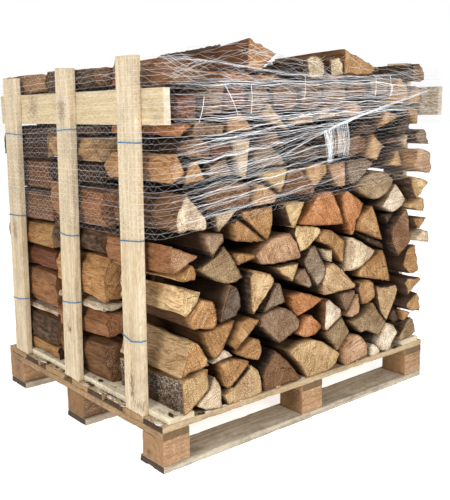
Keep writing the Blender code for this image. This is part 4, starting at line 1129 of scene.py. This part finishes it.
class Threads:
    """Thin tubes gathered into one mesh."""

    def __init__(self, sides):
        self.sides, self.points, self.faces = sides, [], []

    def add(self, route, radius, closed=False):
        route = np.asarray(route, float)
        if closed:
            ahead_of = np.roll(route, -1, axis=0) - np.roll(route, 1, axis=0)
        else:
            ahead_of = np.gradient(route, axis=0)
        ahead_of /= np.linalg.norm(ahead_of, axis=1)[:, None] + 1e-12
        upright = np.where(np.abs(ahead_of[:, 2:]) < 0.9, [[0.0, 0.0, 1.0]], [[1.0, 0.0, 0.0]])
        first = np.cross(ahead_of, upright)
        first /= np.linalg.norm(first, axis=1)[:, None]
        second = np.cross(ahead_of, first)
        base, sides, count = len(self.points), self.sides, len(route)
        ring = []
        for side in range(sides):
            turn = 2 * math.pi * side / sides
            ring.append(route + radius * (math.cos(turn) * first + math.sin(turn) * second))
        self.points += np.stack(ring, axis=1).reshape(-1, 3).tolist()
        for step in range(count if closed else count - 1):
            here, there = base + step * sides, base + (step + 1) % count * sides
            for side in range(sides):
                after = (side + 1) % sides
                self.faces.append((here + side, there + side, there + after, here + after))
        if not closed:
            last = base + (count - 1) * sides
            self.faces.append(tuple(base + side for side in range(sides)))
            self.faces.append(tuple(last + side for side in reversed(range(sides))))

    def finish(self, name, finish, slot, replaced):
        mesh = bpy.data.meshes.new(name)
        mesh.from_pydata(self.points, [], self.faces)
        mesh.materials.append(finish)
        mesh.shade_smooth()
        piece = bpy.data.objects.new(name, mesh)
        bpy.context.scene.collection.objects.link(piece)
        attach(piece, "root")
        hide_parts(replaced)


def eased_route(corners, spacing, rounding):
    """Points at even steps along straight runs between corners, which are eased by averaging."""
    corners = np.asarray(corners, float)
    lengths = np.concatenate([[0], np.cumsum(np.linalg.norm(np.diff(corners, axis=0), axis=1))])
    marks = np.linspace(0, lengths[-1], max(3, round(lengths[-1] / spacing) + 1))
    near, far = np.clip(marks - rounding, 0, lengths[-1]), np.clip(marks + rounding, 0, lengths[-1])
    return sum(np.stack([np.interp(span, lengths, corners[:, axis]) for axis in range(3)], axis=1)
               for span in (near, marks, far)) / 3


def faded_plastic(name, dark, light, scale, high, roughness):
    """Drawn plastic thread: a smooth, slightly glossy surface whose colour fades in places."""
    made, tree = new_material(name)
    fade = noise_at(tree, put(tree, "ShaderNodeTexCoord").outputs["Object"], scale, 3.0)
    colour = mixed_colour(tree, between(tree, fade, 0.35, high), paint(dark), paint(light))
    return shade(made, Base_Color=colour, Roughness=roughness)


twine_blue = faded_plastic("blue polypropylene twine", "#0D5F92", "#2A84B5", 60.0, 0.7, 0.42)
for side, mirror in (("left", 1), ("right", -1)):
    for post, place, near_height, middle_height, far_height in TIES:
        node_name = f"twine_tie_{side}_{post}_{place}"
        low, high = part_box(node_name)
        near, far = low.y + TWINE / 2, high.y - TWINE / 2
        outer = max(abs(low.x), abs(high.x)) - TWINE / 2
        inner = min(abs(low.x), abs(high.x))
        corners = [(-mirror * x, y, z) for x, y, z in (
            (inner, near, near_height), (outer, near, near_height), (outer, (near + far) / 2, middle_height),
            (outer, far, far_height), (inner, far, far_height))]
        centre_line = eased_route(corners, TWINE_STEP, 3 * MM)
        twist = np.arange(len(centre_line)) * TWINE_STEP / TWIST * 2 * math.pi
        tie = Threads(5)
        for ply in (0, math.pi):
            aside = np.stack([np.cos(twist + ply), np.sin(twist + ply) * 0.5, np.sin(twist + ply)], axis=1)
            tie.add(centre_line + aside * 0.6 * PLY, PLY)
        tie.finish(node_name + "_cord", twine_blue, "twine", node_name)

# Net
# White knitted pallet net of polyethylene, several turns wound tight round the upper half, outside the
# posts and rails. Chains run round the stack, laid-in threads zigzag between them, and where the turns
# were pulled together on the front they gather into ropes.
net_white = faded_plastic("white polyethylene net", "#E2E4E7", "#FBFCFD", 35.0, 0.65, 0.45)
net_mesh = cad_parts["net_wrap"].data
net_skin = BVHTree.FromPolygons([point.co.copy() for point in net_mesh.vertices],
                                [tuple(face.vertices) for face in net_mesh.polygons])
CORNERS = ((-0.6, 0.5), (-0.6, -0.5), (0.6, -0.5), (0.6, 0.5))
CORNER_REACH = 0.05
ROUND = 4.4
NET_LIFT = -1.0 * MM
# The net's outside is measured at this spacing round the stack and at this many levels of its height
WALK_STEP = 0.02
LEVELS = 24


def path_at(travel):
    """Where a walk round the stack is after this length, from its back left corner, and which way is out.
    Near a corner the way out turns little by little."""
    travel %= ROUND
    for start, end in zip(CORNERS, CORNERS[1:] + CORNERS[:1]):
        start, end = Vector(start), Vector(end)
        length = (end - start).length
        if travel <= length:
            break
        travel -= length
    along = (end - start) / length
    tilt = Vector((0.0, 0.0))
    if travel < CORNER_REACH:
        tilt = (start - end).normalized() * (1 - travel / CORNER_REACH)
    elif travel > length - CORNER_REACH:
        tilt = along * (1 - (length - travel) / CORNER_REACH)
    return start + along * travel, (Vector((along.y, -along.x)) + tilt).normalized()


def skin_hit(travel, height):
    spot, out = path_at(travel)
    start = Vector((spot.x + out.x * 0.3, spot.y + out.y * 0.3, height))
    return net_skin.ray_cast(start, Vector((-out.x, -out.y, 0.0)), 0.6)[0]


walk = np.arange(0, ROUND, WALK_STEP)
skin = np.zeros((len(walk), LEVELS + 1, 3))
outward = np.zeros((len(walk), 3))
for step, travel in enumerate(walk):
    met = [height for height in np.arange(0.62, 1.20, 4 * MM) if skin_hit(travel, height)]
    outward[step, :2] = path_at(travel)[1]
    for level in range(LEVELS + 1):
        height = min(met) + (max(met) - min(met)) * level / LEVELS
        skin[step, level] = skin_hit(travel, height)


def on_net(travel, share, lift=0.0):
    """Points on the net's outside: how far round, and how high between its two edges, from 0 to 1."""
    place = np.mod(travel, ROUND) / WALK_STEP
    low = place.astype(int) % len(walk)
    high = (low + 1) % len(walk)
    part = (place - np.floor(place))[:, None]
    level = np.clip(share, 0, 1) * LEVELS
    under = np.minimum(level.astype(int), LEVELS - 1)
    rise = (level - under)[:, None]
    at_low = skin[low, under] * (1 - rise) + skin[low, under + 1] * rise
    at_high = skin[high, under] * (1 - rise) + skin[high, under + 1] * rise
    out = outward[low] * (1 - part) + outward[high] * part
    return at_low * (1 - part) + at_high * part + out * (lift + NET_LIFT)


def sight_to(x, z):
    """From the eye to this X and height, in cm, on the plane of the front edge."""
    return Vector((x * CM - HALF_LENGTH, FRONT_EDGE, z * CM)) - EYE


def seen_on_net(x, z):
    """The place on the net that appears there."""
    sight = sight_to(x, z)
    hit = net_skin.ray_cast(EYE, sight.normalized(), 6.0)[0]
    return hit or net_skin.find_nearest(EYE + sight)[0]


def wandering(travel, amount, draw):
    """A slow wander up and down that closes on itself after one turn."""
    total = np.zeros_like(travel)
    for waves in (2, 5, 9, 16, 27):
        strength = draw.uniform(0.4, 1.0)
        total += strength * np.sin(2 * math.pi * (waves * travel / ROUND + draw.random())) / waves ** 0.6
    return total * amount


net_draw = Random(23)
CHAINS = 31
SECOND_TURN = 10
CHAIN = 0.17 * MM
CHAIN_STEP = 0.022
WEFT_STEP = 0.019
turns = Threads(3)
travel = np.arange(0, ROUND, CHAIN_STEP)
chain_shares = []
for chain in range(CHAINS):
    share = chain / (CHAINS - 1) + wandering(travel, 0.0035, net_draw)
    chain_shares.append(share)
    turns.add(on_net(travel, share), CHAIN * net_draw.uniform(0.7, 1.7), closed=True)
for chain in range(SECOND_TURN):
    sway = 0.07 * np.sin(2 * math.pi * travel / ROUND + 0.8 * math.sin(chain * 0.7) + 0.5)
    share = 0.02 + 0.95 * chain / SECOND_TURN + sway + wandering(travel, 0.006, net_draw)
    turns.add(on_net(travel, share, 1.0 * MM), CHAIN * net_draw.uniform(0.7, 1.3), closed=True)
turns.finish("net_turns", net_white, "net", "net_wrap")

weft = Threads(3)
weft_travel = np.arange(0, ROUND, WEFT_STEP)
for lower, upper in zip(chain_shares, chain_shares[1:]):
    zigzag = np.where(np.arange(len(weft_travel)) % 2 == 0, np.interp(weft_travel, travel, lower),
                      np.interp(weft_travel, travel, upper))
    shift = weft_travel + np.array([net_draw.uniform(-5, 5) * MM for _ in weft_travel])
    weft.add(on_net(shift, zigzag, 0.5 * MM), net_draw.uniform(0.11, 0.22) * MM, closed=True)
weft.finish("net_weft", net_white, "net", "net_wrap")

# Ropes and strands on the front
# The turns gathered into ropes, a fan that runs into the rope and strands that slant across. Their
# places are X and height in cm, as they appear on the plane of the front edge.
ROPE = ((63.8, 93.7), (82.4, 98.5), (103.2, 103.0), (122.0, 107.0))
ROPE_START = ([63.8, 82.4], [93.7, 98.5])
ROPE_REST = ([82.4, 120], [98.5, 106.6])
UPPER_EDGE = ((0.0, 115.2), (25, 114.2), (37, 112.5), (50, 111.2), (71, 110.5), (98.5, 111.3), (111.7, 113.2))
# How many strands, the height in cm at which the lowest starts on the left, and how far they are apart
FAN = (16, 76.5, 1.19)
BAND = (36, 97.4, 0.345)
SLANTING = (16, 69.5, 1.6)
STRAND = 0.42 * MM
THIN_STRAND = 0.36 * MM
NEARLY_A_TURN = 6.28


def starts(strands):
    count, lowest, apart = strands
    return [(number, lowest + apart * number) for number in range(count)]


def strand(threads, spots, radius, spread, lift, draw, count=1):
    """A thread, or a bundle of them, through spots seen on the front of the net. It wanders by the spread,
    in cm, and lies off the net by the lift."""
    xs, zs = np.array(spots, float).T
    marks = np.arange(xs[0], xs[-1] + 0.1, 2.2)
    for _ in range(count):
        phase = draw.uniform(0, NEARLY_A_TURN)
        waves = spread * np.sin(marks * draw.uniform(0.25, 0.7) + phase) * draw.uniform(0.3, 1.0)
        heights = np.interp(marks, xs, zs) + waves + draw.uniform(-spread, spread) * 0.5
        route = [seen_on_net(x, z) + Vector((0, -lift - draw.uniform(0, 1) * MM, 0))
                 for x, z in zip(marks, heights)]
        way = np.linspace(0, 1, len(route))
        thinned = np.clip(np.minimum(way, 1 - way) / 0.15, 0.35, 1.0)[:, None]
        threads.add(route, radius * draw.choice((0.6, 0.7, 0.8, 1.0, 1.2, 1.9)) * thinned)


ropes = Threads(4)
strand(ropes, ROPE, 0.45 * MM, 0.50, 3 * MM, net_draw, count=7)
strand(ropes, UPPER_EDGE, 0.5 * MM, 0.40, 2 * MM, net_draw, count=4)
for _, start in starts(FAN):
    rope_x = net_draw.uniform(60, 84)
    rope_z = np.interp(rope_x, *ROPE_START)
    rope_end = net_draw.uniform(86, 108)
    fan = ((net_draw.uniform(3.5, 20), start), (rope_x * 0.55, start * 0.62 + rope_z * 0.38),
           (rope_x, rope_z), (rope_end, np.interp(rope_end, *ROPE_REST)))
    strand(ropes, fan, STRAND, 0.35, 2 * MM, net_draw)
for number, start in starts(BAND):
    start += net_draw.uniform(-0.6, 0.6)
    band = ((net_draw.uniform(3.5, 14), start), (45, start + 0.1), (85, start + 0.6),
            (119, 99.5 + 0.28 * number + net_draw.uniform(-2, 2)))
    strand(ropes, band, STRAND, 0.34, 2 * MM, net_draw)
for _, start in starts(SLANTING):
    start += net_draw.uniform(-1, 1)
    slant_end = net_draw.choice((38, 60, 82))
    slant = ((net_draw.uniform(3.5, 14), start), (slant_end, start + 0.11 * slant_end))
    strand(ropes, slant, THIN_STRAND, 0.5, 1 * MM, net_draw, count=3)
ropes.finish("net_ropes", net_white, "net", "net_wrap")

# Slack threads
# Threads of the uppermost turns that came loose and lie across the top logs.
wood_points, wood_faces = [], []
for name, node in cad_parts.items():
    if name.startswith(("firewood", "loose_log")):
        start = len(wood_points)
        wood_points += [point.co.copy() for point in node.data.vertices]
        wood_faces += [tuple(start + corner for corner in face.vertices) for face in node.data.polygons]
wood_skin = BVHTree.FromPolygons(wood_points, wood_faces)


def over_logs(threads, begin, end, radius, draw):
    """A thread drawn over the top logs, where it appears, and across the gaps between them."""
    waves, phase = draw.uniform(1, 3), draw.uniform(0, NEARLY_A_TURN)
    sights, distances = [], []
    for mark in np.linspace(0, 1, 24):
        x = begin[0] + (end[0] - begin[0]) * mark
        z = begin[1] + (end[1] - begin[1]) * mark + 0.12 * math.sin(waves * NEARLY_A_TURN * mark + phase)
        sights.append(sight_to(x, z).normalized())
        hit = wood_skin.ray_cast(EYE, sights[-1], 6.0)
        distances.append(hit[3] if hit[0] else 9.0)
    nearest = [min(distances[max(0, place - 2):place + 3]) for place in range(len(distances))]
    if max(nearest) < 5.0:
        eased = np.convolve([nearest[0]] + nearest + [nearest[-1]], [0.25, 0.5, 0.25], "valid")
        threads.add([EYE + sight * (length - 5 * MM) for sight, length in zip(sights, eased)], radius)


SLACK_THREADS = 210
slack = Threads(3)
for number in range(SLACK_THREADS):
    x = net_draw.uniform(10, 112) if number % 2 else net_draw.uniform(-16, 45)
    z = net_draw.uniform(109.5, 120)
    length = net_draw.uniform(5, 22)
    slope = net_draw.choice((-0.45, -0.2, -0.08, 0.08, 0.25, 0.5))
    over_logs(slack, (x, z), (x + length, z + length * slope), net_draw.uniform(0.25, 0.5) * MM, net_draw)
slack.finish("net_slack", net_white, "net", "net_wrap")

# Loose ends
# A small bunch on the top left, single threads that hang down, and a tuft where the rope starts: a plume
# drawn together at its foot, and a thin sheet beside it.
BUNCH = (41.2, 113.6)
BUNCH_THREADS = 14
HANGING = (
    ((34.3, 108.2), (34.1, 100)), ((56.2, 110.6), (56, 104)), ((89.5, 110.8), (89.4, 104.5)),
    ((97, 111), (97.6, 104.8)), ((24.5, 108), (29, 100)), ((17, 105), (15, 98)), ((98.6, 108), (96.8, 104)),
)
TUFT_THREADS = 70
PLUME_FOOT = 66.9
SHEET_FOLD = 75.5


def hanging(top, foot, points, bow_at, lift_at):
    """The route of a thread that hangs on the front, bowed aside and lifted off the net as told."""
    route = []
    for share in np.linspace(0, 1, points):
        bow = bow_at(share)
        spot = seen_on_net(top[0] + (foot[0] - top[0]) * share + bow, top[1] + (foot[1] - top[1]) * share)
        route.append(spot + Vector((0, -lift_at(share), 0)))
    return route


loose_ends = Threads(4)
for _ in range(BUNCH_THREADS):
    begin = (BUNCH[0] + net_draw.uniform(-2.0, -0.5), BUNCH[1] + net_draw.uniform(-0.8, 0.2))
    end = (BUNCH[0] + net_draw.uniform(0.8, 2.0), BUNCH[1] + net_draw.uniform(-0.2, 1.1))
    over_logs(loose_ends, begin, end, 0.8 * MM, net_draw)
for top, foot in HANGING:
    route = hanging(top, foot, 9, lambda share: 0.35 * math.sin(share * math.pi), lambda share: 4 * MM)
    loose_ends.add(route, 0.9 * MM)
for number in range(TUFT_THREADS):
    if number % 2:
        x_top, z_low = net_draw.uniform(64.6, 69.4), net_draw.uniform(83.6, 87.0)
        x_low = PLUME_FOOT + (x_top - PLUME_FOOT) * net_draw.uniform(0.0, 0.6)
        bulge, radius = 0.6, net_draw.uniform(0.25, 0.6)
    else:
        x_low = net_draw.choice((SHEET_FOLD, *(net_draw.uniform(69.8, 75.6) for _ in range(4))))
        x_low = x_top = x_low + net_draw.uniform(0, 0.2)
        z_low = net_draw.uniform(85.2, 86.8)
        bulge, radius = 0.15, net_draw.uniform(0.15, 0.3)
    bulge *= net_draw.choice((-1, 1))
    top, foot = (x_top, np.interp(x_top, *ROPE_START)), (x_low, z_low)
    route = hanging(top, foot, 10,
                    lambda share: net_draw.uniform(-0.2, 0.2) + bulge * math.sin(share * math.pi),
                    lambda share: 5 * MM + 10 * MM * math.sin(share * math.pi * 0.8))
    loose_ends.add(route, radius * MM)
loose_ends.finish("net_loose_ends", net_white, "net", "net_wrap")
